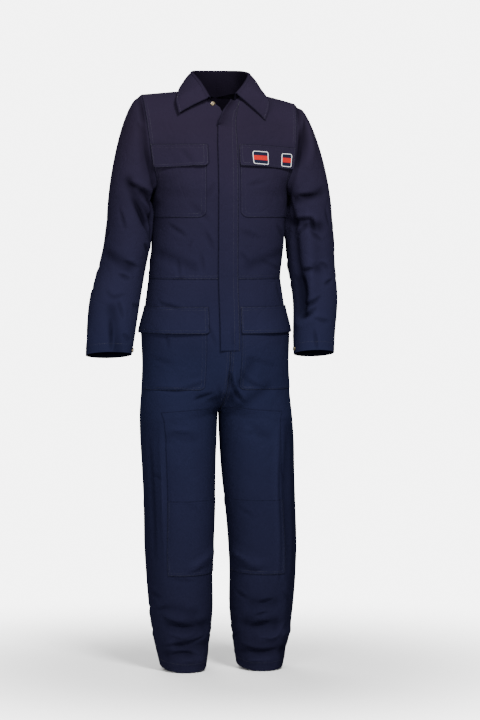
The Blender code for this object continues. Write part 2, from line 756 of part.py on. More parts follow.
def sample(grid, row, column):
    """A point inside a grid, by fractional row and column numbers."""
    r = min(int(row), grid.shape[0] - 2)
    c = min(int(column), grid.shape[1] - 2)
    u, v = row - r, column - c
    return (
        (1 - u) * (1 - v) * grid[r, c] + u * (1 - v) * grid[r + 1, c]
        + (1 - u) * v * grid[r, c + 1] + u * v * grid[r + 1, c + 1]
    )


def span(first, last):
    """The whole numbers between two fractional ones, and both of those."""
    inside = [n for n in range(int(first) + 1, int(np.ceil(last)))
              if first + .12 < n < last - .12]
    return [first, *inside, last]


def cut_from(skin, rows, columns, corner=0.0):
    """Points and normals of a piece of a skin, its lower corners cut by a share."""
    points, normals = skin
    place = [[(row, column) for column in columns] for row in rows]
    last = len(columns) - 1
    lowest = min((0, -1), key=lambda n: sample(points, rows[n], columns[0])[2])
    step = rows[1] - rows[0] if lowest == 0 else rows[-2] - rows[-1]
    for column in (0, last):
        row_number, column_number = place[lowest][column]
        place[lowest][column] = (row_number + corner * step, column_number)
    return tuple(
        np.array([[sample(layer, *spot) for spot in row] for row in place])
        for layer in (points, normals)
    )


def layered(name, piece, gap, thickness):
    """A wall that lies outside its own points, with a gap under it."""
    points, normals = piece
    return wall_mesh(name, (points + normals * gap, points + normals * (gap + thickness)))


UNDER_FLAP = LAYER + TRIM + LAYER       # how far out a flap lies, over its pocket
ON_FLAP = UNDER_FLAP + TRIM + LAYER

CHEST_ROWS = [BODICE_LEVELS.index(level) for level in (2, 5, 6)]
HIP_ROWS = [LEG_HEIGHTS.index(height) for height in (-.552, -.621, HIP_POCKET_Z)]
KNEE_ROWS = [LEG_HEIGHTS.index(height) for height in (KNEE_PATCH_Z, -1.238)]
POCKET_COLUMNS = (2.0, 8.0)
FLAP_COLUMNS = (1.8, 8.88)
KNEE_PATCH_COLUMNS = (0.06, PATCH_OUTER_COLUMN)
CORNER_CUT = 0.30


def pocket_pieces(skins, side):
    """The pockets, flaps and knee patch of one side, with their distance out."""
    name = SIDE_NAME[side]
    front, leg = skins["front_" + name], skins["leg_front_" + name]
    bottom, flap_low, flap_top = CHEST_ROWS
    hip_top, hip_low, hip_bottom = HIP_ROWS
    pocket, flap = span(*POCKET_COLUMNS), span(*FLAP_COLUMNS)
    return {
        "chest_pocket_" + name: (
            cut_from(front, span(bottom, flap_top - .2), pocket, CORNER_CUT), LAYER),
        "chest_flap_" + name: (
            cut_from(front, span(flap_low, flap_top), flap, CORNER_CUT), UNDER_FLAP),
        "hip_pocket_" + name: (
            cut_from(leg, span(hip_top + .2, hip_bottom), pocket, CORNER_CUT), LAYER),
        "hip_flap_" + name: (
            cut_from(leg, span(hip_top, hip_low), flap, CORNER_CUT), UNDER_FLAP),
        "knee_patch_" + name: (
            cut_from(leg, span(*KNEE_ROWS), span(*KNEE_PATCH_COLUMNS)), LAYER),
    }


# The placket crosses both fronts; near the neck its free edge opens with the
# wearer's left front.
PLACKET_OPEN = (  # level, free edge
    (7.0, (-.026, -.1145, -.085)), (7.5, (-.018, -.124, -.058)), (8.0, (.004, -.123, -.026)),
)


def placket_piece(skins):
    points, normals = [], []
    end_row = np.interp(-PLACKET_END_Z, -np.array(LEG_HEIGHTS), np.arange(len(LEG_HEIGHTS)))
    sources = (
        ("leg_front_", span(0, end_row)[::-1]),
        ("front_", list(range(BODICE_LEVELS.index(NECK_LEVEL) + 1))),
    )
    for prefix, rows in sources:
        for row in rows:
            if prefix == "front_" and row == 0:
                continue
            line, ways = [], []
            for side, columns in ((RIGHT, (1, .5, 0)), (LEFT, (.5, 1))):
                skin = skins[prefix + SIDE_NAME[side]]
                line += [sample(skin[0], row, column) for column in columns]
                ways += [sample(skin[1], row, column) for column in columns]
            level = BODICE_LEVELS[row] if prefix == "front_" else 0
            if level >= PLACKET_OPEN[0][0]:
                free = stance(table_value(
                    [entry[0] for entry in PLACKET_OPEN],
                    [entry[1] for entry in PLACKET_OPEN], level))
                held = line[-1]
                bow = .004 * (level - PLACKET_OPEN[0][0])
                line = [free + (held - free) * share - ways[-1] * bow * share * (1 - share)
                        for share in (0, .25, .5, .75, 1)]
                ways = [ways[-1]] * len(line)
            points.append(line)
            normals.append(ways)
    return np.array(points), np.array(normals)


def badge_piece(skin, low_row, high_row, first_x, last_x):
    """A patch between two upright lines of the flap."""
    middle = int((low_row + high_row) / 2)
    along = skin[0][middle, :, 0]
    first, last = np.interp([first_x, last_x], along, np.arange(len(along)))
    return cut_from(skin, span(low_row, high_row), span(first, last), .25)


BADGE_ROWS = (10.3, 11.7)
BADGES = {"badge_inner": (.064, .108), "badge_outer": (.142, .172)}     # between two x
NECK_STUD = (15, .8)                        # row and column of the wearer's right front
CUFF_STUD_ANGLES = {RIGHT: 172, LEFT: 166}


# Objects and materials ------------------------------------------------------------

def material(name, colour, roughness, metallic=0.0):
    made = bpy.data.materials.new(name)
    made.use_nodes = True
    shader = made.node_tree.nodes["Principled BSDF"]
    shader.inputs["Base Color"].default_value = (*colour, 1)
    shader.inputs["Roughness"].default_value = roughness
    shader.inputs["Metallic"].default_value = metallic
    return made


suit = bpy.data.collections.new("boiler_suit")
bpy.context.scene.collection.children.link(suit)
cotton = material("navy_cotton", (0.017, 0.020, 0.048), 0.9)
brass = material("brass", (0.62, 0.47, 0.22), 0.35, 1.0)
woven = material("woven_badge", (0.55, 0.05, 0.05), 0.8)


def add(name, mesh, finish):
    mesh.materials.append(finish)
    mesh.shade_smooth()
    mesh.set_sharp_from_angle(angle=radians(40))
    made = bpy.data.objects.new(name, mesh)
    suit.objects.link(made)
    return made


def stud(name, skin, row, column):
    """A press stud's cap, flat on the cloth in the middle of one of the grid's cells."""
    row, column = int(row) % len(skin[0]) + .5, int(column) + .5
    point = sample(skin[0], row, column)
    normal = sample(skin[1], row, column)
    work = bmesh.new()
    bmesh.ops.create_cone(work, cap_ends=True, segments=16, radius1=STUD_RADIUS,
                          radius2=STUD_RADIUS * .72, depth=STUD_HEIGHT)
    turn = Vector((0, 0, 1)).rotation_difference(Vector(normal)).to_matrix().to_4x4()
    centre = Vector(point) + Vector(normal).normalized() * (STUD_LIFT + STUD_HEIGHT / 2)
    work.transform(Matrix.Translation(centre) @ turn)
    mesh = bpy.data.meshes.new(name)
    work.to_mesh(mesh)
    work.free()
    add(name, mesh, brass)


def panel_wall(skin, closed=False, inner_from=0):
    """A panel's inner and outer points, parted from its neighbours by the seam."""
    points, normals = skin
    return tuple(
        drawn_in(layer, SEAM / 2, closed, inner_from)
        for layer in (points - normals * CLOTH, points)
    )


skins = garment_skins()
for side, name in SIDE_NAME.items():
    for panel in ("front_", "leg_front_", "leg_back_"):
        add(panel + name, wall_mesh(panel + name, panel_wall(skins[panel + name])), cotton)
    sleeve = panel_wall(skins["sleeve_" + name], closed=True)
    add("sleeve_" + name, wall_mesh("sleeve_" + name, sleeve), cotton)
    for piece_name, (piece, gap) in pocket_pieces(skins, side).items():
        add(piece_name, layered(piece_name, piece, gap, TRIM), cotton)

neck_row = BODICE_LEVELS.index(NECK_LEVEL)
right_half = panel_wall(skins["back_right"], inner_from=neck_row)
left_half = panel_wall(skins["back_left"], inner_from=neck_row)
right_half = [grid[:, ::-1] for grid in right_half]
add("back", wall_mesh("back", right_half, left_half), cotton)

collar = collar_grid(skins)
collar_normals = grid_normals(collar, np.zeros(3))
collar_normals /= np.linalg.norm(collar_normals, axis=2)[:, :, None]
collar_normals *= np.sign(np.sum(collar_normals[:, ROLL_COLUMN, 2]))
add("collar", wall_mesh("collar", (collar, collar + collar_normals * CLOTH)), cotton)

add("placket", layered("placket", placket_piece(skins), LAYER, TRIM), cotton)
for name, (first_x, last_x) in BADGES.items():
    piece = badge_piece(skins["front_left"], *BADGE_ROWS, first_x, last_x)
    add(name, layered(name, piece, ON_FLAP, BADGE), woven)

stud("stud_neck", skins["front_right"], *NECK_STUD)
for side, angle in CUFF_STUD_ANGLES.items():
    name = SIDE_NAME[side]
    angles = armhole(side)[1]
    column = np.interp(radians(angle), angles, np.arange(len(angles)))
    stud("stud_cuff_" + name, skins["sleeve_" + name], -2, column)
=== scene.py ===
from math import cos, pi, radians, sin
from typing import NamedTuple

import bpy
import numpy as np
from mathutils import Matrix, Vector
from mathutils.kdtree import KDTree


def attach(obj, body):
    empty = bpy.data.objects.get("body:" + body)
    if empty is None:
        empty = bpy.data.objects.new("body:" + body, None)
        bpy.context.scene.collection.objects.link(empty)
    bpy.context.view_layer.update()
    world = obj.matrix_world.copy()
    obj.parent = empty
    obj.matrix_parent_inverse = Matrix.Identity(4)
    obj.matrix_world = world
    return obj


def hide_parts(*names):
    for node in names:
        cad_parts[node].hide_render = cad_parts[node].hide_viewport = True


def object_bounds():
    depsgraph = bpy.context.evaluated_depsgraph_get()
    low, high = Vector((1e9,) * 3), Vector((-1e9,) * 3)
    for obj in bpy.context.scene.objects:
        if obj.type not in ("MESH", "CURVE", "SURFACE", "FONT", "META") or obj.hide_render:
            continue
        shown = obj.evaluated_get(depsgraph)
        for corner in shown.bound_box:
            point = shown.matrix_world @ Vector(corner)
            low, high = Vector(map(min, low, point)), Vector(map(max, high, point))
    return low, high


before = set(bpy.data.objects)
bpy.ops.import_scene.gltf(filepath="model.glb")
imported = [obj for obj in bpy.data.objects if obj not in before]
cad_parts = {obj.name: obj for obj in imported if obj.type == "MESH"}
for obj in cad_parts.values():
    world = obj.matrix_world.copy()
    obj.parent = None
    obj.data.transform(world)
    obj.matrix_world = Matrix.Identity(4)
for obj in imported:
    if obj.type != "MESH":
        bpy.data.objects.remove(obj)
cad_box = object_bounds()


# Bodice ------------------------------------------------------------------------
# Two fronts and a back of navy cotton twill, cut full so that the suit can be
# worn over other clothes, joined at the sides and over the shoulders. A section
# of the cloth is one curve from the centre to the side seam or the armhole.

RIGHT, LEFT = -1, 1
SIDE_NAME = {RIGHT: "right", LEFT: "left"}
WAIST_Z = -0.482
UNDERARM = (0.1770, 0.0000, -0.2720)
NECK_POINT = (0.0780, 0.0000, 0.0000)
SHOULDER_POINT = (0.2000, 0.0000, -0.0200)
PLACKET_HALF = 0.026


def table_value(keys, values, at):
    """Values between a table's rows, smooth and with no overshoot past them."""
    keys, values = np.asarray(keys, float), np.asarray(values, float)
    if keys[0] > keys[-1]:
        keys, values = keys[::-1], values[::-1]
    wide = (-1,) + (1,) * (values.ndim - 1)
    step = np.diff(keys).reshape(wide)
    slope = np.diff(values, axis=0) / step
    before, after = slope[:-1], slope[1:]
    same_way = before * after > 0
    bend = np.where(same_way, 2 * before * after / np.where(same_way, before + after, 1), 0)
    tangent = np.concatenate([slope[:1], bend, slope[-1:]])
    at = np.clip(np.asarray(at, float).ravel(), keys[0], keys[-1])
    row = np.clip(np.searchsorted(keys, at, side="right") - 1, 0, len(keys) - 2)
    u = (at - keys[row]).reshape(wide) / step[row]
    return ((2 * u**3 - 3 * u**2 + 1) * values[row]
            + (u**3 - 2 * u**2 + u) * step[row] * tangent[row]
            + (3 * u**2 - 2 * u**3) * values[row + 1]
            + (u**3 - u**2) * step[row] * tangent[row + 1])


class Row(NamedTuple):
    """One section of a panel, for the wearer's left; x grows away from the centre."""
    level: float
    inner: tuple        # point on the inner edge
    inner_pull: tuple   # how the cloth leaves that edge
    outer: tuple        # point on the outer edge
    outer_pull: tuple   # how the cloth reaches that edge, seen from the edge


class Panel(NamedTuple):
    """A panel's sections, and the levels at which its edges turn a corner."""
    rows: list
    inner_corner: float
    outer_corner: float


def sections(panel, levels, across):
    """Points of a panel: one row for each level, at the given shares of its width."""
    def edge(column, corner):
        low = [row for row in panel.rows if corner is None or row.level <= corner]
        high = [row for row in panel.rows if corner is not None and row.level >= corner]
        values = [
            table_value([row.level for row in part], [row[column] for row in part], levels)
            for part in (low, high or low)
        ]
        under = np.full(len(levels), True) if corner is None else levels <= corner
        return np.where(under[:, None], *values)[:, None]

    start, end = edge(1, panel.inner_corner), edge(3, panel.outer_corner)
    start_pull, end_pull = edge(2, panel.inner_corner), edge(4, panel.outer_corner)
    u = across[..., None]
    return ((1 - u)**3 * start + 3 * u * (1 - u)**2 * (start + start_pull)
            + 3 * u**2 * (1 - u) * (end + end_pull) + u**3 * end)


SWAY = (  # height, sideways shift of the whole section
    (0.06, -0.002), (-0.02, -0.004), (-0.27, -0.002), (-0.33, -0.003), (-0.41, -0.007),
    (-0.482, -0.014), (-0.62, -0.0125), (-0.80, -0.011), (-0.93, -0.0055),
    (-1.11, 0.0), (-1.32, 0.003), (-1.52, 0.004),
)
CENTRE_SWAY = (  # height, sideways shift of the centre line
    (0.06, 0.0), (-0.30, 0.001), (-0.482, 0.003), (-0.66, 0.006), (-0.75, 0.001),
    (-0.82, -0.006), (-0.93, -0.0055), (-1.11, 0.0), (-1.32, 0.003), (-1.52, 0.004),
)
SWAY_REACH = 0.15
SHOULDER_DROP = 0.012
DROP_FADES_Z = -0.25


def stance(points):
    """Shifts symmetric points into the way the wearer stands, one shoulder lower."""
    points = np.array(points, float)
    x, z = points[..., 0].copy(), points[..., 2].copy()
    outer = table_value(*zip(*SWAY), z).reshape(z.shape)
    centre = table_value(*zip(*CENTRE_SWAY), z).reshape(z.shape)
    away = np.minimum(1, abs(x) / SWAY_REACH)
    share = np.clip(1 - z / DROP_FADES_Z, 0, 1)
    reach = np.minimum(1, abs(x) / SHOULDER_POINT[0])
    points[..., 0] += centre + (outer - centre) * away**2 * (3 - 2 * away)
    points[..., 2] -= SHOULDER_DROP * share * reach**2 * np.sign(x)
    return points


# Levels: 0 waist seam, 2 chest pocket's bottom, 3 underarm, 5 and 6 chest flap's
# lower and upper edge, 8 neck corner of the front, 10 shoulder seam.
FRONT = (
    Row(0, (0, -.120, WAIST_Z), (.100, 0, 0), (.1715, .004, WAIST_Z), (0, -.075, 0)),
    Row(1, (0, -.124, -.405), (.103, 0, 0), (.1720, .002, -.405), (0, -.078, 0)),
    Row(2, (0, -.129, -.325), (.106, 0, 0), (.1730, .001, -.325), (0, -.080, 0)),
    Row(3, (0, -.131, -.272), (.108, 0, 0), UNDERARM, (-.006, -.072, 0)),
    Row(4, (0, -.130, -.238), (.108, 0, 0), (.1690, -.050, -.241), (-.030, -.042, 0)),
    Row(5, (0, -.127, -.193), (.100, 0, 0), (.1790, -.068, -.199), (-.055, -.026, 0)),
    Row(6, (0, -.118, -.138), (.095, 0, 0), (.1890, -.068, -.142), (-.058, -.018, .002)),
)
ARMHOLE_FRONT = (  # level, edge point, pull, between the flap and the shoulder
    (7, (.1945, -.058, -.090), (-.056, -.014, .006)),
    (8, (.1975, -.040, -.055), (-.052, -.010, .009)),
    (9, (.1992, -.020, -.033), (-.047, -.004, .009)),
    (10, SHOULDER_POINT, (-.043, .000, .008)),
)
NECK_FRONT = {  # the fronts' inner edge above the flaps, open at the neck
    RIGHT: (
        ((.001, -.108, -.085), (.080, .000, .004)), ((.017, -.100, -.044), (.060, .014, .014)),
        ((.050, -.076, -.018), (.050, .016, .008)), (NECK_POINT, (.040, .000, -.005)),
    ),
    LEFT: (
        ((.001, -.110, -.085), (.080, .000, .004)), ((.016, -.106, -.030), (.060, .014, .006)),
        ((.046, -.080, -.012), (.050, .016, .006)), (NECK_POINT, (.040, .000, -.005)),
    ),
}
BACK = (
    Row(0, (0, .104, WAIST_Z), (.098, 0, 0), (.1715, .004, WAIST_Z), (0, .070, 0)),
    Row(1, (0, .110, -.405), (.100, 0, 0), (.1720, .002, -.405), (0, .072, 0)),
    Row(2, (0, .118, -.325), (.102, 0, 0), (.1730, .001, -.325), (0, .075, 0)),
    Row(3, (0, .122, -.272), (.106, 0, 0), UNDERARM, (-.006, .072, 0)),
    Row(4, (0, .122, -.238), (.108, 0, 0), (.1710, .048, -.241), (-.030, .044, 0)),
    Row(5, (0, .120, -.193), (.104, 0, 0), (.1810, .066, -.199), (-.052, .030, 0)),
    Row(6, (0, .112, -.138), (.098, 0, 0), (.1890, .068, -.142), (-.056, .022, 0)),
    Row(7, (0, .100, -.080), (.090, 0, 0), (.1945, .058, -.090), (-.056, .016, .004)),
    Row(8, (0, .078, -.014), (.075, -.002, 0), (.1975, .040, -.055), (-.050, .010, .007)),
    Row(9, (.044, .060, -.004), (.050, -.004, -.002), (.1992, .020, -.033),
        (-.046, .003, .008)),
    Row(10, NECK_POINT, (.040, .000, -.005), SHOULDER_POINT, (-.043, .000, .008)),
)
UNDERARM_LEVEL, FLAP_LEVEL, NECK_LEVEL = 3, 6, 8
BODICE_CELLS = (2, 2, 2, 2, 2, 2, 1, 2, 2, 1)   # cells of the cut between the levels
POCKET_INNER = {RIGHT: 0.055, LEFT: 0.031}      # the pockets' inner edge
POCKET_OUTER_SHARE = 0.955
COLUMNS = 10
FINE = 8                                        # threads of mesh to a cell of the cut


def finer(values):
    """Splits each step between coarse values, along the last axis, into fine ones."""
    values = np.asarray(values, float)
    share = np.arange(FINE) / FINE
    steps = values[..., :-1, None] * (1 - share) + values[..., 1:, None] * share
    return np.concatenate([steps.reshape(*values.shape[:-1], -1), values[..., -1:]], -1)


cut_levels = [0.0]
for number, count in enumerate(BODICE_CELLS):
    cut_levels += [number + (cell + 1) / count for cell in range(count)]
bodice_levels = finer(cut_levels)


def share_at_x(panel, levels, x):
    """How far across each section the cloth passes the upright line at x."""
    fine = np.linspace(0, 1, 81)
    along = sections(panel, levels, np.tile(fine, (len(levels), 1)))[..., 0]
    found = []
    for row in along:
        peak = int(np.argmax(row))
        found.append(np.interp(x, row[:peak + 1], fine[:peak + 1]))
    return np.array(found)


def pocket_columns(panel, levels, side):
    """Shares across each section: placket's edge, pocket's columns, panel's edge."""
    placket = share_at_x(panel, levels, PLACKET_HALF)
    pocket = share_at_x(panel, levels, POCKET_INNER[side])
    cells = COLUMNS - 4
    inside = [pocket + (POCKET_OUTER_SHARE - pocket) * n / cells for n in range(cells + 1)]
    ends = np.zeros(len(levels)), np.ones(len(levels))
    return np.stack([ends[0], placket, *inside, ends[1]], -1)


def front_grid(side):
    upper = [Row(level, inner, inner_pull, outer, outer_pull)
             for (level, outer, outer_pull), (inner, inner_pull)
             in zip(ARMHOLE_FRONT, NECK_FRONT[side])]
    panel = Panel(list(FRONT) + upper, NECK_LEVEL, UNDERARM_LEVEL)
    columns = finer(pocket_columns(panel, np.minimum(bodice_levels, FLAP_LEVEL), side))
    return stance(sections(panel, bodice_levels, columns) * (side, 1, 1)), columns


def back_grid(side, shoulder_columns):
    """Half of the back; its columns meet the front's along the shoulder seam."""
    even = finer(np.linspace(0, 1, COLUMNS))
    share = np.clip((bodice_levels - FLAP_LEVEL) / (10 - FLAP_LEVEL), 0, 1)[:, None]
    columns = even + (shoulder_columns - even) * share
    panel = Panel(BACK, NECK_LEVEL, UNDERARM_LEVEL)
    return stance(sections(panel, bodice_levels, columns) * (side, 1, 1))


grids = {}
for side, name in SIDE_NAME.items():
    grids["front_" + name], columns = front_grid(side)
    grids["back_" + name] = back_grid(side, columns[-1])


# Trousers ------------------------------------------------------------------------
# Four long panels of the same twill, sewn to the bodice at the waist: straight, wide
# legs that the spare length lets stack up at the ankles. Above the crotch a panel's
# inner edge is the centre seam and below it the inseam; the outer one is the side seam.

HEM_Z = -1.486
LEG_EDGES = (  # height, inseam x, side seam x, seams' y
    (-.900, .0060, .2000, .004), (-.980, .0100, .1985, .004), (-1.048, .0140, .1980, .002),
    (-1.162, .0213, .1990, .000), (-1.238, .0240, .1960, .000), (-1.320, .0230, .1900, .003),
    (-1.400, .0290, .1800, .006), (-1.450, .0340, .1710, .006), (HEM_Z, .0410, .1610, .004),
)
LEG_DEPTHS = (  # height, front depth, back depth, measured from the seams
    (-.900, .108, .117), (-.980, .106, .108), (-1.048, .104, .100), (-1.162, .100, .094),
    (-1.238, .096, .094), (-1.320, .090, .094), (-1.400, .084, .090), (HEM_Z, .080, .084),
)
HEM_DIP = 0.010         # the front of the hem hangs lower than the back
HALF_RING_PULL = 1.34   # length of a pull that carries a half ring to its full depth
LEG_FRONT_TOP = (
    Row(WAIST_Z, (0, -.120, WAIST_Z), (.100, 0, 0), (.1715, .004, WAIST_Z), (0, -.075, 0)),
    Row(-.552, (0, -.126, -.552), (.107, 0, 0), (.1815, .004, -.552), (0, -.080, 0)),
    Row(-.621, (0, -.130, -.621), (.112, 0, 0), (.1925, .004, -.621), (0, -.085, 0)),
    Row(-.700, (0, -.127, -.700), (.112, 0, 0), (.1900, .004, -.700), (0, -.085, 0)),
    Row(-.767, (0, -.114, -.765), (.100, -.018, 0), (.1930, .004, -.767), (0, -.093, 0)),
    Row(-.805, (0, -.086, -.795), (.074, -.056, .004), (.1960, .004, -.805), (0, -.110, 0)),
    Row(-.827, (0, -.046, -.815), (.044, -.106, .006), (.1980, .004, -.827), (0, -.124, 0)),
    Row(-.850, (.0015, .004, -.826), (.011, -.150, -.006), (.1990, .004, -.850),
        (0, -.144, 0)),
)
LEG_BACK_TOP = (
    Row(WAIST_Z, (0, .104, WAIST_Z), (.098, 0, 0), (.1715, .004, WAIST_Z), (0, .070, 0)),
    Row(-.552, (0, .114, -.552), (.104, 0, 0), (.1815, .004, -.552), (0, .075, 0)),
    Row(-.621, (0, .125, -.621), (.110, 0, 0), (.1925, .004, -.621), (0, .080, 0)),
    Row(-.700, (0, .130, -.700), (.112, 0, 0), (.1900, .004, -.700), (0, .085, 0)),
    Row(-.767, (0, .121, -.765), (.102, .019, 0), (.1930, .004, -.767), (0, .094, 0)),
    Row(-.805, (0, .098, -.797), (.080, .056, .004), (.1960, .004, -.805), (0, .113, 0)),
    Row(-.827, (0, .056, -.817), (.046, .109, .006), (.1980, .004, -.827), (0, .129, 0)),
    Row(-.850, (.0015, .004, -.826), (.011, .156, -.006), (.1990, .004, -.850), (0, .151, 0)),
)
leg_cuts = (
    WAIST_Z, -.517, -.552, -.587, -.621, -.660, -.700, -.735, -.767, -.788, -.805,
    -.827, -.850, -.880, -.915, -.958, -1.003, -1.048, -1.096, -1.144, -1.192, -1.238,
    -1.272, -1.304, -1.332, -1.358, -1.382, -1.404, -1.426, -1.448, -1.468, HEM_Z,
)
leg_heights = finer(leg_cuts)
CROTCH_LEVEL = -.850
HIP_POCKET_Z = -.767
KNEE_PATCH_Z = -.827
KNEE_COLUMNS = np.array([0, .10, .20, .30, .40, .50, .59, .67, .84, 1.0])


def leg_panel(front):
    """A trouser panel, with its lower rows worked out from the leg's own tables."""
    rows = list(LEG_FRONT_TOP if front else LEG_BACK_TOP)
    top = LEG_DEPTHS[0][0]
    for height, front_depth, back_depth in LEG_DEPTHS:
        inseam_x, side_x, seam_y = table_value(
            [row[0] for row in LEG_EDGES], [row[1:] for row in LEG_EDGES], height)[0]
        depth = -front_depth if front else back_depth
        low = (-HEM_DIP if front else HEM_DIP) * (height - top) / (HEM_Z - top)
        pull = (0, depth * HALF_RING_PULL, low * HALF_RING_PULL)
        rows.append(Row(height, (inseam_x, seam_y, height), pull,
                        (side_x, seam_y, height), pull))
    return Panel(rows, CROTCH_LEVEL, None)


def leg_front_grid(side):
    panel = leg_panel(True)
    hip = pocket_columns(panel, np.maximum(leg_heights, HIP_POCKET_Z), side)
    share = np.clip((HIP_POCKET_Z - leg_heights) / (HIP_POCKET_Z - KNEE_PATCH_Z), 0, 1)
    columns = finer(hip + (KNEE_COLUMNS - hip) * share[:, None])
    return stance(sections(panel, leg_heights, columns) * (side, 1, 1))


def leg_back_grid(side):
    columns = np.tile(finer(np.linspace(0, 1, COLUMNS)), (len(leg_heights), 1))
    return stance(sections(leg_panel(False), leg_heights, columns) * (side, 1, 1))


for side, name in SIDE_NAME.items():
    grids["leg_front_" + name] = leg_front_grid(side)
    grids["leg_back_" + name] = leg_back_grid(side)


# Sleeves ---------------------------------------------------------------------------
# Each is one piece of twill closed by a seam under the arm, eased into the armhole so
# that its head stands a little proud of the shoulder. The arms hang slightly forward.

CAP_END_Z = -.330
SLEEVES = {  # height, centre x outwards, centre y, half width, half depth, forward lean
    RIGHT: (
        (CAP_END_Z, .2350, .004, .0590, .070, 0), (-.385, .2400, .005, .0610, .068, 1),
        (-.434, .2500, .006, .0612, .066, 3),
        (-.538, .2760, -.012, .0660, .056, 9), (-.642, .2920, -.040, .0620, .046, 13),
        (-.676, .2970, -.050, .0595, .043, 14),
    ),
    LEFT: (
        (CAP_END_Z, .2335, .004, .0620, .072, 0), (-.385, .2375, .005, .0640, .069, 1),
        (-.434, .2405, .006, .0625, .066, 3),
        (-.538, .2487, -.012, .0585, .056, 9), (-.642, .2400, -.040, .0545, .048, 13),
        (-.676, .2380, -.050, .0530, .045, 14),
    ),
}
cap_shares = finer((0, .10, .22, .36, .52, .68, .84, 1))[:-1]
sleeve_heights = finer((
    CAP_END_Z, -.350, -.370, -.390, -.410, -.430, -.450, -.472, -.496, -.522, -.550, -.578,
    -.606, -.632, -.655, -.676,
))


def sleeve_rings(side, heights, angles):
    """Rings of the sleeve; the angle runs from its outer line over the front."""
    table = SLEEVES[side]
    values = table_value([row[0] for row in table], [row[1:] for row in table], heights)
    x, y, half_width, half_depth, lean = values.T[:, :, None]
    lean = np.radians(lean)
    forward = half_depth * np.sin(angles)
    return np.stack([side * (x + half_width * np.cos(angles)), y - forward * np.cos(lean),
                     np.asarray(heights)[:, None] + forward * np.sin(lean)], -1)


def nearest(values, at):
    """The number of the value that lies nearest."""
    return int(np.argmin(abs(values - at)))


def walked_along(points):
    """The length of a chain of points up to each of them."""
    return np.concatenate([[0], np.cumsum(np.linalg.norm(np.diff(points, axis=0), axis=1))])


def armhole(side):
    """The armhole's points from the shoulder over the front, and their angles."""
    first = nearest(bodice_levels, UNDERARM_LEVEL)
    front_edge = grids["front_" + SIDE_NAME[side]][first:, -1]
    back_edge = grids["back_" + SIDE_NAME[side]][first:, -1]
    loop = np.concatenate([front_edge[::-1], back_edge[1:]])
    walked = walked_along(loop)
    half = len(front_edge) - 1
    angles = np.where(
        np.arange(len(loop)) <= half, pi * walked / walked[half],
        pi + pi * (walked - walked[half]) / (walked[-1] - walked[half]))
    return loop, angles


def sleeve_grid(side):
    loop, angles = armhole(side)
    end = sleeve_rings(side, [CAP_END_Z], angles)[0]
    front = np.sin(angles)
    leave = np.stack([side * (.102 + .034 * np.cos(angles)), -.030 * front,
                      -.033 - .057 * abs(front)], -1)
    arrive = np.stack([np.full(len(angles), side * .012), np.zeros(len(angles)),
                       -1.2 * (loop[:, 2] - end[:, 2])], -1)
    u = cap_shares[:, None, None]
    cap = ((2 * u**3 - 3 * u**2 + 1) * loop + (u**3 - 2 * u**2 + u) * leave
           + (3 * u**2 - 2 * u**3) * end + (u**3 - u**2) * arrive)
    grid = np.concatenate([cap, sleeve_rings(side, sleeve_heights, angles)])
    grid[:, -1] = grid[:, 0]
    return grid


for side, name in SIDE_NAME.items():
    grids["sleeve_" + name] = sleeve_grid(side)


# Sewing and drape -----------------------------------------------------------------
# The panels are sewn with felled seams, so neighbours share each edge. The heavy cotton
# falls in a few large folds: pulls at the elbows, slack over the waist, drag lines from
# the crotch, breaks behind the knees and the spare length stacked on the ankles.

class Fold(NamedTuple):
    """A ridge (depth above 0) or a trough between two points of the front or back."""
    face: str
    start: tuple        # x, z
    end: tuple          # x, z
    width: float
    depth: float


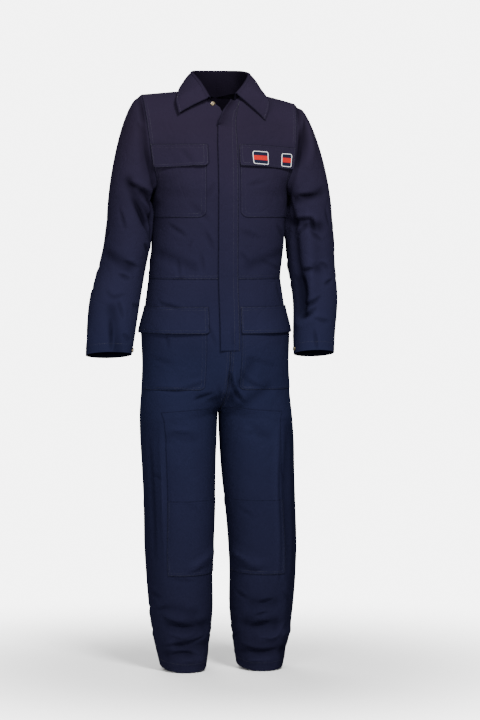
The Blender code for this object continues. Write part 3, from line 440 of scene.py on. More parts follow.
FOLDS = (
    # Wearer's right sleeve: pulls at the elbow's bend, and the forearm's long break.
    Fold("front", (-.250, -.235), (-.200, -.335), .013, -.007),
    Fold("front", (-.212, -.262), (-.176, -.292), .012, -.005),
    Fold("front", (-.300, -.420), (-.245, -.455), .014, -.005),
    Fold("front", (-.292, -.560), (-.276, -.676), .014, -.005),
    Fold("back", (-.275, -.330), (-.215, -.375), .014, -.006),
    Fold("back", (-.285, -.430), (-.225, -.415), .013, -.006),
    Fold("back", (-.300, -.520), (-.250, -.480), .014, -.005),
    # Wearer's left sleeve.
    Fold("front", (.188, -.280), (.255, -.262), .012, -.006),
    Fold("front", (.180, -.337), (.250, -.352), .013, -.007),
    Fold("front", (.212, -.462), (.250, -.458), .012, -.005),
    Fold("front", (.204, -.490), (.208, -.570), .016, -.008),
    Fold("front", (.196, -.600), (.236, -.580), .012, .005),
    Fold("back", (.275, -.330), (.215, -.375), .014, -.006),
    Fold("back", (.285, -.425), (.225, -.440), .013, -.006),
    Fold("back", (.280, -.520), (.225, -.490), .014, -.005),
    # Bodice: slack above the waist, and the back's drape from the shoulders.
    Fold("front", (-.165, -.420), (-.090, -.455), .014, -.004),
    Fold("front", (.060, -.450), (.150, -.420), .014, -.004),
    Fold("back", (-.150, -.230), (-.100, -.420), .020, -.006),
    Fold("back", (.150, -.240), (.095, -.410), .020, -.006),
    Fold("back", (-.110, -.450), (.020, -.440), .015, -.005),
    Fold("back", (.030, -.460), (.130, -.445), .015, -.004),
    # Seat and crotch.
    Fold("front", (.012, -.800), (.062, -.700), .013, -.006),
    Fold("front", (.035, -.815), (.110, -.760), .013, -.005),
    Fold("front", (-.020, -.795), (-.070, -.790), .012, -.004),
    Fold("back", (-.020, -.800), (-.110, -.745), .016, -.008),
    Fold("back", (.020, -.800), (.115, -.750), .016, -.008),
    Fold("back", (-.030, -.835), (-.150, -.860), .016, -.007),
    Fold("back", (.030, -.835), (.150, -.855), .016, -.007),
    # Knees and shins.
    Fold("front", (-.150, -.890), (-.085, -.893), .014, -.004),
    Fold("front", (.075, -.872), (.105, -.890), .014, -.004),
    Fold("front", (-.035, -1.190), (-.085, -1.222), .014, .006),
    Fold("front", (.035, -1.188), (.080, -1.214), .014, .006),
    Fold("back", (-.150, -1.060), (-.060, -1.085), .018, -.008),
    Fold("back", (.060, -1.060), (.150, -1.090), .018, -.008),
    Fold("back", (-.140, -1.140), (-.050, -1.125), .017, -.006),
    Fold("back", (.055, -1.150), (.145, -1.135), .017, -.006),
    # Ankles, where the spare length stacks up.
    Fold("front", (-.150, -1.330), (-.080, -1.345), .014, -.005),
    Fold("front", (-.145, -1.374), (-.050, -1.378), .014, -.009),
    Fold("front", (-.120, -1.424), (-.035, -1.430), .013, -.007),
    Fold("front", (-.150, -1.452), (-.090, -1.446), .012, -.006),
    Fold("front", (-.110, -1.468), (-.060, -1.466), .012, .005),
    Fold("front", (.070, -1.322), (.130, -1.322), .014, -.006),
    Fold("front", (.055, -1.376), (.135, -1.376), .014, -.009),
    Fold("front", (.095, -1.412), (.175, -1.398), .013, .006),
    Fold("front", (.050, -1.446), (.170, -1.446), .012, -.007),
    Fold("front", (.070, -1.468), (.115, -1.468), .012, .005),
    Fold("back", (-.145, -1.350), (-.050, -1.365), .016, -.008),
    Fold("back", (-.140, -1.420), (-.045, -1.410), .015, -.008),
    Fold("back", (.055, -1.345), (.150, -1.365), .016, -.008),
    Fold("back", (.050, -1.410), (.150, -1.425), .015, -.008),
)

CREASES = {  # width, depth, then places: degrees round the limb from its front, height
    "body": (
        # Bodice front, then the folds at the flaps, the fly and the crotch.
        (.007, -.0022, (-54, -.432), (-52, -.478)), (.006, -.0018, (-39, -.382), (-45, -.412)),
        (.008, -.0024, (-31, -.412), (-28, -.468)), (.009, -.0028, (-27, -.355), (-16, -.412)),
        (.007, -.0020, (-59, -.486), (-46, -.480)), (.008, -.0026, (-64, -.340), (-44, -.374)),
        (.010, -.0022, (-42, -.286), (-20, -.338)), (.009, -.0030, (58, -.344), (78, -.388)),
        (.010, -.0022, (12, -.356), (40, -.384)), (.008, -.0022, (40, -.436), (73, -.462)),
        (.010, -.0018, (-50, -.150), (-34, -.196)), (.009, -.0018, (20, -.245), (44, -.232)),
        (.008, -.0024, (15, -.412), (27, -.446)), (.010, -.0020, (-15, -.235), (-24, -.282)),
        (.008, -.0030, (-70, -.544), (-47, -.560)), (.009, -.0032, (66, -.494), (74, -.550)),
        (.006, -.0030, (-59, -.619), (-58, -.664)), (.008, -.0024, (-75, -.682), (-52, -.700)),
        (.008, -.0028, (-74, -.762), (-51, -.768), (-26, -.742)),
        (.007, .0022, (-44, -.747), (-27, -.737)), (.007, -.0026, (-24, -.592), (-13, -.660)),
        (.007, -.0026, (4, -.585), (8, -.690)), (.008, -.0022, (18, -.680), (60, -.712)),
        (.010, -.0050, (1, -.716), (8, -.766), (24, -.806)),
        (.008, -.0036, (14, -.712), (26, -.748), (44, -.764)),
        (.008, .0024, (6, -.738), (18, -.782)),
        (.009, -.0044, (5, -.690), (3, -.750), (8, -.806)),
        (.008, -.0030, (-16, -.772), (-38, -.792)), (.007, -.0026, (-12, -.752), (-6, -.798)),
        # Under the arms and down the sides.
        (.022, .0064, (-98, -.240), (-96, -.290), (-98, -.345)),
        (.010, -.0034, (-122, -.335), (-108, -.395), (-104, -.440)),
        (.010, -.0034, (116, -.330), (104, -.392), (101, -.436)),
        (.009, -.0026, (-104, -.420), (-90, -.468)), (.009, -.0028, (106, -.412), (93, -.465)),
        (.009, -.0026, (-92, -.560), (-106, -.640)), (.009, -.0024, (94, -.552), (108, -.622)),
        # Back: slack across the waist and loose drapes from the shoulder blades.
        (.013, -.0036, (-140, -.170), (-148, -.250), (-143, -.330)),
        (.012, -.0030, (141, -.190), (150, -.262), (146, -.322)),
        (.010, -.0022, (-168, -.120), (-172, -.205)), (.010, -.0024, (164, -.140), (170, -.230)),
        (.010, -.0038, (-122, -.372), (-150, -.398), (-176, -.386)),
        (.009, -.0034, (126, -.366), (152, -.402), (172, -.412)),
        (.009, -.0036, (-112, -.448), (-142, -.440), (-164, -.462)),
        (.010, -.0038, (114, -.442), (139, -.458), (168, -.446)),
        (.008, -.0026, (-170, -.430), (-192, -.426)), (.009, .0026, (-134, -.418), (-158, -.424)),
        (.009, -.0024, (128, -.512), (150, -.530)), (.009, -.0026, (-122, -.520), (-146, -.540)),
        (.010, -.0032, (-172, -.800), (-150, -.762), (-118, -.742)),
        (.010, -.0030, (173, -.806), (150, -.770), (121, -.752)),
        (.009, -.0030, (-168, -.735), (-146, -.712)), (.009, -.0028, (170, -.728), (146, -.698)),
        (.010, -.0036, (180, -.640), (179, -.760)),
    ),
    "leg_right": (
        (.006, .0020, (-24, -.886), (0, -.906)), (.006, .0020, (-17, -.862), (8, -.868)),
        (.007, -.0026, (-19, -.874), (10, -.880)), (.006, .0018, (-14, -.964), (-3, -.942)),
        (.008, -.0022, (-2, -1.054), (30, -1.086)), (.008, -.0022, (-56, -.978), (-28, -.998)),
        (.007, .0042, (8, -1.219), (42, -1.191)), (.007, -.0034, (2, -1.238), (38, -1.222)),
        (.008, -.0024, (-24, -1.252), (18, -1.260)), (.008, -.0026, (-80, -1.280), (-38, -1.304)),
        (.009, -.0048, (-44, -1.352), (-10, -1.376), (18, -1.382)),
        (.008, .0034, (-32, -1.392), (-6, -1.402), (18, -1.392)),
        (.008, -.0046, (-46, -1.430), (-4, -1.422), (38, -1.405)),
        (.007, -.0036, (-34, -1.450), (-6, -1.445), (27, -1.457)),
        (.008, .0034, (-12, -1.462), (16, -1.462)), (.008, -.0026, (-64, -1.334), (-28, -1.328)),
        (.010, .0044, (-31, -.860), (-33, -1.045), (-29, -1.222)),
        (.014, -.0036, (-52, -.880), (-54, -1.045), (-50, -1.222)),
        (.007, -.0026, (46, -1.412), (84, -1.398), (118, -1.412)),
        # Hidden sides: the seat's edge, the knee's hollow and the calf's stacked length.
        (.009, -.0020, (-160, -.884), (-140, -.896), (-106, -.880)),
        (.009, -.0030, (178, -.922), (-142, -.936)), (.009, -.0026, (120, -.905), (160, -.925)),
        (.010, -.0040, (96, -1.030), (130, -1.062), (168, -1.058)),
        (.010, -.0046, (-100, -1.046), (-140, -1.082), (176, -1.078)),
        (.009, -.0040, (108, -1.118), (150, -1.104), (-168, -1.122)),
        (.009, -.0036, (-112, -1.138), (-150, -1.158), (170, -1.152)),
        (.009, -.0030, (118, -1.196), (160, -1.212)),
        (.009, -.0030, (-108, -1.240), (-150, -1.226)),
        (.010, -.0042, (-86, -1.330), (-128, -1.352), (-170, -1.340)),
        (.010, -.0042, (100, -1.322), (142, -1.346), (178, -1.366)),
        (.009, -.0044, (-80, -1.388), (-126, -1.404), (-168, -1.392), (150, -1.404)),
        (.008, -.0040, (92, -1.372), (128, -1.384), (158, -1.372)),
        (.008, -.0038, (-94, -1.440), (-140, -1.432), (176, -1.446)),
        (.008, -.0034, (98, -1.440), (136, -1.450), (160, -1.438)),
        (.009, -.0024, (-88, -.900), (-96, -1.010)), (.009, -.0024, (-84, -1.140), (-92, -1.230)),
    ),
    "leg_left": (
        (.006, .0022, (-21, -.896), (-6, -.875)), (.006, .0018, (-29, -.862), (-11, -.868)),
        (.007, -.0024, (-24, -.880), (4, -.886)), (.006, .0018, (-12, -.928), (2, -.908)),
        (.008, -.0022, (-45, -1.070), (-16, -1.097)), (.007, -.0020, (22, -.960), (38, -1.010)),
        (.007, .0044, (-67, -1.186), (-43, -1.199), (-22, -1.220)),
        (.007, -.0034, (-62, -1.206), (-26, -1.232), (4, -1.227)),
        (.008, -.0024, (-62, -1.290), (-32, -1.309)), (.007, -.0036, (-18, -1.320), (11, -1.309)),
        (.007, -.0034, (-21, -1.353), (2, -1.343)), (.009, -.0048, (-36, -1.384), (9, -1.369)),
        (.008, .0042, (-16, -1.403), (9, -1.408), (38, -1.366)),
        (.008, -.0046, (-54, -1.430), (-12, -1.447), (24, -1.442)),
        (.008, .0036, (-36, -1.467), (-5, -1.466)), (.008, -.0026, (23, -1.290), (48, -1.320)),
        (.010, .0056, (21, -.858), (14, -1.058), (14, -1.270)),
        (.013, -.0050, (37, -.870), (32, -1.058), (33, -1.270)),
        (.007, -.0026, (-52, -1.400), (-86, -1.412), (-118, -1.400)),
        (.009, -.0020, (160, -.886), (142, -.902), (104, -.884)),
        (.009, -.0030, (-176, -.930), (140, -.944)), (.009, -.0026, (-122, -.900), (-158, -.918)),
        (.010, -.0040, (-94, -1.040), (-132, -1.068), (-170, -1.060)),
        (.010, -.0046, (98, -1.052), (138, -1.090), (-178, -1.084)),
        (.009, -.0040, (-108, -1.130), (-146, -1.112), (172, -1.128)),
        (.009, -.0036, (110, -1.150), (148, -1.168), (-172, -1.160)),
        (.009, -.0030, (-120, -1.204), (-158, -1.218)),
        (.009, -.0030, (106, -1.232), (150, -1.246)),
        (.010, -.0042, (88, -1.338), (130, -1.358), (172, -1.346)),
        (.010, -.0042, (-100, -1.330), (-140, -1.350), (-176, -1.370)),
        (.009, -.0044, (82, -1.394), (124, -1.410), (166, -1.398), (-152, -1.410)),
        (.008, -.0040, (-92, -1.378), (-128, -1.390), (-156, -1.380)),
        (.008, -.0038, (94, -1.446), (142, -1.436), (-178, -1.450)),
        (.008, -.0034, (-98, -1.446), (-134, -1.454), (-160, -1.444)),
        (.009, -.0024, (88, -.910), (95, -1.030)), (.009, -.0024, (84, -1.150), (91, -1.226)),
    ),
    "sleeve_right": (
        (.008, -.0044, (-22, -.235), (-3, -.246), (30, -.274)),
        (.009, -.0052, (-8, -.272), (20, -.320), (50, -.372)),
        (.008, -.0034, (12, -.250), (44, -.292)),
        (.008, -.0034, (4, -.275), (40, -.318), (66, -.338)),
        (.007, -.0028, (-34, -.300), (-14, -.360)), (.008, -.0034, (34, -.390), (66, -.420)),
        (.009, -.0040, (-14, -.580), (1, -.664)), (.008, -.0032, (-14, -.468), (24, -.486)),
        (.008, -.0030, (-8, -.436), (36, -.457)),
        (.009, -.0022, (-38, -.508), (-12, -.529), (20, -.522)),
        (.008, -.0028, (0, -.534), (29, -.584)),
        (.009, -.0044, (-22, -.080), (-9, -.108), (-2, -.150), (9, -.205), (24, -.255)),
        (.008, -.0026, (44, -.545), (80, -.560)), (.008, -.0026, (30, -.620), (64, -.640)),
        (.009, -.0040, (70, -.400), (110, -.432), (150, -.425)),
        (.009, -.0044, (90, -.460), (128, -.484), (170, -.476)),
        (.009, -.0038, (96, -.330), (128, -.372), (158, -.392)),
        (.009, -.0028, (-80, -.444), (-116, -.462), (-150, -.456)),
        (.010, -.0020, (-80, -.516), (-108, -.502), (-140, -.514)),
        (.008, -.0032, (-60, -.360), (-98, -.392)), (.009, -.0036, (-160, -.290), (-130, -.345)),
        (.009, -.0034, (-172, -.545), (-140, -.580)), (.008, -.0028, (-80, -.600), (-96, -.655)),
        (.008, -.0030, (110, -.570), (140, -.600)), (.009, -.0030, (-120, -.190), (-142, -.260)),
        (.014, -.0044, (34, -.150), (50, -.250), (58, -.390)),
        (.020, .0085, (84, -.205), (88, -.290), (82, -.372)),
    ),
    "sleeve_left": (
        (.008, -.0042, (-24, -.271), (-8, -.271), (20, -.264)),
        (.008, -.0050, (-50, -.332), (-9, -.330), (3, -.364)),
        (.007, -.0032, (-37, -.464), (-6, -.457)), (.009, -.0022, (-33, -.480), (-36, -.540)),
        (.008, -.0044, (-50, -.550), (-20, -.545), (6, -.527)),
        (.008, -.0040, (-62, -.583), (-34, -.575), (-6, -.558)),
        (.012, -.0074, (34, -.070), (14, -.112), (4, -.150), (-6, -.200)),
        (.008, -.0032, (-44, -.374), (-14, -.344)), (.008, -.0030, (-12, -.358), (18, -.390)),
        (.008, -.0028, (-18, -.586), (42, -.596)), (.008, -.0028, (10, -.440), (38, -.462)),
        (.008, -.0030, (14, -.500), (46, -.486)), (.007, -.0026, (30, -.300), (44, -.350)),
        (.009, -.0030, (-12, -.610), (2, -.668)),
        (.009, -.0040, (70, -.410), (112, -.436), (150, -.426)),
        (.009, -.0042, (68, -.476), (108, -.500), (150, -.488)),
        (.009, -.0036, (64, -.340), (98, -.372), (136, -.366)),
        (.009, -.0040, (-78, -.420), (-118, -.446), (-160, -.436)),
        (.009, -.0044, (-86, -.500), (-126, -.484), (-168, -.498)),
        (.009, -.0036, (-96, -.340), (-130, -.378), (-160, -.396)),
        (.008, -.0032, (160, -.300), (132, -.350)), (.009, -.0034, (172, -.552), (142, -.584)),
        (.008, -.0028, (82, -.590), (97, -.648)), (.009, -.0030, (118, -.196), (140, -.262)),
        (.008, -.0028, (-110, -.566), (-142, -.594)),
        (.016, -.0052, (-50, -.270), (-44, -.420), (-44, -.590)),
        (.014, .0030, (-14, -.300), (-12, -.420), (-20, -.540)),
        (.020, .0050, (-84, -.215), (-88, -.320), (-82, -.392)),
    ),
}
CREASE_DEPTH, CREASE_WIDTH = 1.3, 0.72  # how much deeper and narrower than in the table
CREASE_STEPS = 13                       # points that a crease's line is drawn through
BESIDE, BESIDE_AT, BESIDE_WIDTH = .38, 1.7, 1.2     # the cloth pushed back on both sides
ARMHOLE_DIP = 0.0055                    # how far a sleeve sinks in beside its armhole
DIP_AT, DIP_WIDTH = .012, .009
LIMB_RADIUS = {"body": .150, "leg_right": .098, "leg_left": .098, "sleeve_right": .060,
               "sleeve_left": .060}


def facing_out(name, grid):
    """Area-weighted normals at a panel's points, all on its outer side."""
    total = np.zeros_like(grid)
    first = np.cross(grid[1:, :-1] - grid[:-1, :-1], grid[:-1, 1:] - grid[:-1, :-1])
    second = np.cross(grid[:-1, 1:] - grid[1:, 1:], grid[1:, :-1] - grid[1:, 1:])
    rows, columns = first.shape[:2]
    for face, corners in ((first, ((0, 0), (1, 0), (0, 1))),
                          (second, ((1, 1), (0, 1), (1, 0)))):
        for down, over in corners:
            total[down:down + rows, over:over + columns] += face
    middle = grid.mean(axis=1, keepdims=True) * ((1, 1, 1) if "sleeve" in name else (1, 0, 1))
    return -total if np.sum(total * (grid - middle)) < 0 else total


def sewn_normals(grids):
    """Unit normals of all panels; a point that panels share at a seam has one normal."""
    normals = {name: facing_out(name, grid) for name, grid in grids.items()}
    shared = {}
    for name, grid in grids.items():
        rows, columns = grid.shape[:2]
        rim = [(r, c) for r in (0, rows - 1) for c in range(columns)]
        rim += [(r, c) for r in range(1, rows - 1) for c in (0, columns - 1)]
        for r, c in rim:
            key = tuple(np.round(grid[r, c] + 1.37e-6, 5))
            shared.setdefault(key, []).append((name, r, c))
    for places in shared.values():
        together = sum(normals[name][r, c] for name, r, c in places)
        for name, r, c in places:
            normals[name][r, c] = together
    return {name: value / np.linalg.norm(value, axis=2, keepdims=True)
            for name, value in normals.items()}


def fold_depth(points, normals):
    """How far the large folds move the cloth outwards at each point."""
    here = points[..., [0, 2]]
    depth = np.zeros(points.shape[:2])
    for fold in FOLDS:
        facing = normals[..., 1] * (-1 if fold.face == "front" else 1)
        start = np.array(fold.start)
        along = np.array(fold.end) - start
        share = np.clip((here - start) @ along / (along @ along), 0, 1)[..., None]
        gap = np.linalg.norm(here - start - share * along, axis=2)
        reach = np.where((facing > 0) & (gap < 3 * fold.width), np.minimum(1, 2 * facing), 0)
        depth += fold.depth * reach * np.exp(-(gap / fold.width) ** 2)
    return depth


def crease_lift(limb, around, height):
    """How far a limb's creases move the cloth, at degrees round it and heights."""
    lift, radius = np.zeros(around.shape), LIMB_RADIUS[limb]
    for width, depth, *path in CREASES[limb]:
        width *= CREASE_WIDTH
        path = np.array(path, float)
        path[:, 0] = np.degrees(np.unwrap(np.radians(path[:, 0])))
        line = table_value(range(len(path)), path, np.linspace(0, len(path) - 1, CREASE_STEPS))
        middle = line[:, 0].mean()
        line = np.stack([radius * np.radians(line[:, 0] - middle), line[:, 1]], -1)
        aside = radius * np.radians((around - middle + 180) % 360 - 180)
        near = ((abs(aside) < abs(line[:, 0]).max() + 4 * width)
                & (abs(height - line[:, 1].mean()) < np.ptp(line[:, 1]) / 2 + 4 * width))
        here = np.stack([aside[near], height[near]], -1)[:, None]
        start, step = line[:-1], np.diff(line, axis=0)
        share = np.clip(((here - start) * step).sum(-1) / (step**2).sum(-1), 0, 1)
        off = here - start - share[..., None] * step
        gap = np.linalg.norm(off, axis=2)
        best = gap.argmin(axis=1)[:, None]
        walked = np.take_along_axis(share + np.arange(len(step)), best, 1)[:, 0] / len(step)
        side = np.sign(step[:, 0] * off[..., 1] - step[:, 1] * off[..., 0])
        gap = np.take_along_axis(gap * side, best, 1)[:, 0] / (
            width * (.6 + .4 * np.sin(pi * walked)))
        rest = np.exp(-gap**2) - BESIDE * np.exp(-((gap - BESIDE_AT) / BESIDE_WIDTH) ** 2)
        lift[near] += CREASE_DEPTH * depth * rest * np.sin(pi * walked) ** .7
    return lift


def soft_step(value, reach):
    """From 0 to 1 over a reach, with soft ends."""
    share = np.clip(value / reach, 0, 1)
    return share * share * (3 - 2 * share)


def creased(name, grid):
    """How far all creases move a panel's points; they die out at armholes and crotch."""
    height = grid[..., 2]
    kind, side = name.rsplit("_", 1)
    body = np.degrees(np.arctan2(grid[..., 0], -grid[..., 1]))
    if kind in ("front", "back"):
        seam = np.linalg.norm(grid - grid[:, -1:], axis=2)
        seam[:nearest(bodice_levels, UNDERARM_LEVEL)] = 1
        top = np.linalg.norm(grid - grid[-1:], axis=2)
        return crease_lift("body", body, height) * soft_step(np.minimum(seam, top), .03)
    limb = kind + "_" + side if kind == "sleeve" else "leg_" + side
    around = grid if kind == "sleeve" else np.concatenate(
        [grids["leg_front_" + side], grids["leg_back_" + side]], 1)
    middle = (around.min(axis=1, keepdims=True) + around.max(axis=1, keepdims=True)) / 2
    off = grid - middle
    lift = crease_lift(limb, np.degrees(np.arctan2(off[..., 0], -off[..., 1])), height)
    if kind == "sleeve":
        from_cap = np.linalg.norm(grid - grid[:1], axis=2)
        uneven = .75 + .35 * np.sin(height * 41 + grid[..., 1] * 23 + len(side))
        sunk = ARMHOLE_DIP * uneven * np.exp(-((from_cap - DIP_AT) / DIP_WIDTH) ** 2)
        return lift * soft_step(from_cap, .02) - sunk
    crotch = grid[nearest(leg_heights, CROTCH_LEVEL), 0]
    from_middle = abs(grid[..., 0] - crotch[0]) + np.maximum(crotch[2] - height, 0)
    return (lift * soft_step(from_middle, .03)
            + crease_lift("body", body, height) * soft_step(height - crotch[2], .04))


def unfolded(grid):
    """Where each point lies on the flat cloth, in metres across and along."""
    across = np.linalg.norm(np.diff(grid, axis=1), axis=2)
    across = np.concatenate([np.zeros((len(grid), 1)), np.cumsum(across, axis=1)], 1)
    down = walked_along(grid[:, grid.shape[1] // 2])
    return np.stack([across, np.broadcast_to(down[:, None], across.shape)], -1)


def from_seams(grid, edges):
    """How far each point lies from the nearest of the edges named, in metres."""
    flat = unfolded(grid)
    left, top = flat[..., 0], flat[..., 1]
    gaps = {"first": left, "last": left[:, -1:] - left, "low": top, "high": top[-1:] - top}
    return np.min([gaps[edge] for edge in edges], axis=0)


def cloth_mesh(name, layers, inside, outside):
    """A closed wall of cloth around one or more skins, joined where they touch.

    A layer is (points, normals, distance from the seams) and may add painted shading, from 1 for a
    painted highlight to -1 for full painted shade; the crease crests and troughs add theirs, and
    the inner side is painted one step darker, as shade. The wall lies between two distances
    outwards from the points, each one number or one for every point.
    """
    points = np.concatenate([layer[0].reshape(-1, 3) for layer in layers])
    normals = np.concatenate([layer[1].reshape(-1, 3) for layer in layers])
    seams = np.concatenate([layer[2].ravel() for layer in layers])
    painted_shading = np.concatenate([layer[3].ravel() if len(layer) > 3 else np.zeros(layer[2].size)
                           for layer in layers])
    flat = np.concatenate([unfolded(layer[0]).reshape(-1, 2) for layer in layers])
    keys, first, number = np.unique(np.round(points, 6), axis=0, return_index=True,
                                    return_inverse=True)
    number = number.ravel()
    quads, start = [], 0
    for layer in layers:
        rows, columns = layer[0].shape[:2]
        at = start + np.arange(rows * columns).reshape(rows, columns)
        start += rows * columns
        quad = np.stack([at[:-1, :-1], at[:-1, 1:], at[1:, 1:], at[1:, :-1]], -1).reshape(-1, 4)
        corner = points[quad]
        way = np.cross(corner[:, 1] - corner[:, 0], corner[:, 3] - corner[:, 0])
        quads.append(quad[:, ::-1] if np.sum(way * normals[quad[:, 0]]) < 0 else quad)
    quads = np.concatenate(quads)
    faces, count = number[quads], len(first)
    sides = np.stack([faces, np.roll(faces, -1, 1)], -1).reshape(-1, 2)
    corners = np.stack([quads, np.roll(quads, -1, 1)], -1).reshape(-1, 2)
    code = sides @ (count, 1)
    free = ~np.isin(code, sides @ (1, count))
    rims, rim_corners = sides[free], corners[free]
    all_faces = np.concatenate([
        faces, faces[:, ::-1] + count,
        np.stack([rims[:, 1], rims[:, 0], rims[:, 0] + count, rims[:, 1] + count], -1)])
    all_corners = np.concatenate([quads, quads[:, ::-1], rim_corners[:, [1, 0, 0, 1]]])
    base, way = points[first], normals[first]
    mesh = bpy.data.meshes.new(name)
    out, into = (np.broadcast_to(np.ravel(gap), len(points))[first][:, None]
                 for gap in (outside, inside))
    mesh.from_pydata(np.concatenate([base + way * out, base + way * into]).tolist(),
                     [], all_faces.tolist())
    mesh.uv_layers.new(name="cloth").data.foreach_set("uv", flat[all_corners].ravel())
    seam_gap = mesh.attributes.new("from_seam", "FLOAT", "POINT")
    seam_gap.data.foreach_set("value", np.tile(seams[first], 2))
    # Painted light and shade: lighter on crease crests, darker in troughs, and darker still on the
    # inner side, which lies in shade.
    outer = np.array([crest_at(point) for point in base]) + painted_shading[first]
    shading_attribute = mesh.attributes.new("painted_shading", "FLOAT", "POINT")
    shading_attribute.data.foreach_set("value", np.concatenate([outer, outer - 1]))
    mesh.shade_smooth()
    mesh.set_sharp_from_angle(angle=radians(50))
    return mesh


def feed(tree, node, inputs):
    """Sets a node's inputs, and links those whose value is another node's output."""
    for socket, value in inputs.items():
        if isinstance(value, bpy.types.NodeSocket):
            tree.links.new(value, node.inputs[socket])
        else:
            node.inputs[socket].default_value = value


def place(tree, kind, inputs={}, **settings):
    """A shader node with its settings, and with its inputs set or linked."""
    made = tree.nodes.new("ShaderNode" + kind)
    for name, value in settings.items():
        setattr(made, name, value)
    feed(tree, made, inputs)
    return made


def noise(tree, where, scale, detail=2.0):
    return place(tree, "TexNoise", {"Vector": where, "Scale": scale, "Detail": detail}).outputs[0]


def mixed(tree, share, first, second):
    """A colour between two, each three numbers or another node's output."""
    first, second = ((*colour, 1) if isinstance(colour, tuple) else colour
                     for colour in (first, second))
    return place(tree, "Mix", {0: share, 6: first, 7: second}, data_type="RGBA").outputs[2]


def bumped(tree, height, strength, distance, **below):
    """The normal of a relief, on top of another normal where one is given."""
    return place(tree, "Bump", {"Strength": strength, "Distance": distance, **below,
                                "Height": height}).outputs[0]


def new_material(name):
    """A material, its node tree and its shader."""
    made = bpy.data.materials.new(name)
    made.use_nodes = True
    return made, made.node_tree, made.node_tree.nodes["Principled BSDF"]


def shader_group(name, inputs, outputs):
    """An empty node group with named float inputs and outputs."""
    tree = bpy.data.node_groups.new(name, "ShaderNodeTree")
    for title, default in inputs.items():
        socket = tree.interface.new_socket(title, in_out="INPUT", socket_type="NodeSocketFloat")
        socket.default_value = default
    for title in outputs:
        tree.interface.new_socket(title, in_out="OUTPUT", socket_type="NodeSocketFloat")
    given, result = tree.nodes.new("NodeGroupInput"), tree.nodes.new("NodeGroupOutput")
    return tree, given.outputs, result.inputs


def maths(tree, operation, *values):
    return place(tree, "Math", dict(enumerate(values)), operation=operation).outputs[0]


def twill_weave():
    """Diagonal ribs of the weave, with uneven yarn."""
    tree, given, result = shader_group(
        "twill_weave", {"Ribs per Metre": 1500.0, "Unevenness": 1.4}, ("Height", "Yarn"))
    cloth = place(tree, "UVMap", uv_map="cloth").outputs[0]
    slubs = place(tree, "Mapping", {0: cloth, 3: (700, 90, 1)}).outputs[0]
    yarn = noise(tree, slubs, 1.0, 3.0)
    axes = place(tree, "SeparateXYZ", {0: cloth}).outputs
    slant = maths(tree, "MULTIPLY_ADD", axes[1], 0.62, axes[0])
    turns = maths(tree, "MULTIPLY", slant, given["Ribs per Metre"])
    turns = maths(tree, "MULTIPLY", turns, 2 * pi)
    uneven = maths(tree, "MULTIPLY", yarn, given["Unevenness"])
    rib = maths(tree, "SINE", maths(tree, "ADD", turns, uneven))
    tree.links.new(maths(tree, "MULTIPLY_ADD", rib, 0.5, 0.5), result["Height"])
    tree.links.new(yarn, result["Yarn"])
    return tree


def sewn_relief():
    """Height of the cloth beside a seam: two furrows of stitching, and puckers; and a mask of
    painted shade in the seam's crevice.
    """
    tree, given, result = shader_group(
        "sewn_relief", {"From Seam": 1.0, "First Row": 0.0020, "Second Row": 0.0085},
        ("Height", "Seam Shade"))
    cloth = place(tree, "UVMap", uv_map="cloth").outputs[0]

    def bell(distance, middle, width):
        off = maths(tree, "DIVIDE", maths(tree, "SUBTRACT", distance, middle), width)
        squared = maths(tree, "POWER", off, 2.0)
        return maths(tree, "EXPONENT", maths(tree, "MULTIPLY", squared, -1.0))

    gap = given["From Seam"]
    rows = maths(tree, "ADD", bell(gap, given["First Row"], 0.0009),
                 bell(gap, given["Second Row"], 0.0009))
    pucker = noise(tree, cloth, 130.0, 1.0)
    near = bell(gap, 0.004, 0.007)
    raised = maths(tree, "MULTIPLY", near, pucker)
    tree.links.new(maths(tree, "MULTIPLY_ADD", rows, -0.35, raised), result["Height"])
    # Painted shade along the seam's crevice, uneven with the puckers.
    seam_shade = maths(tree, "MULTIPLY", bell(gap, 0.0, 0.0022), maths(tree, "MULTIPLY", pucker, 1.6))
    tree.links.new(seam_shade, result["Seam Shade"])
    return tree


def crumpled():
    """Small soft wrinkles of washed cotton, in two sizes."""
    tree, given, result = shader_group(
        "crumpled", {"Large per Metre": 16.0, "Small per Metre": 46.0}, ("Height",))
    where = place(tree, "TexCoord").outputs["Object"]
    bends = place(tree, "TexNoise", {"Vector": where, "Scale": 9.0, "Detail": 1.0}).outputs[1]
    bent = place(tree, "VectorMath", {0: bends, 1: (.05, .05, .05), 2: where},
                 operation="MULTIPLY_ADD").outputs[0]
    sizes = []
    for name in ("Large per Metre", "Small per Metre"):
        noise = place(tree, "TexNoise", {"Vector": bent, "Scale": given[name], "Detail": 1.5})
        centred = maths(tree, "SUBTRACT", noise.outputs[0], 0.5)
        sizes.append(maths(tree, "SQRT", maths(tree, "ABSOLUTE", centred)))
    tree.links.new(maths(tree, "MULTIPLY_ADD", sizes[1], 0.35, sizes[0]), result["Height"])
    return tree


weave, relief, crumple = twill_weave(), sewn_relief(), crumpled()


# Ground colours: the chest's is lighter and warmer as painted light, the ankles' is darker as
# painted shade, and the seam colour is painted shade.
LIT_CHEST_NAVY, WAIST_NAVY = (0.0138, 0.0106, 0.0212), (0.0086, 0.0100, 0.0258)
SHADED_ANKLE_NAVY, SEAM_SHADE = (0.0072, 0.0071, 0.0165), (0.0025, 0.0028, 0.006)


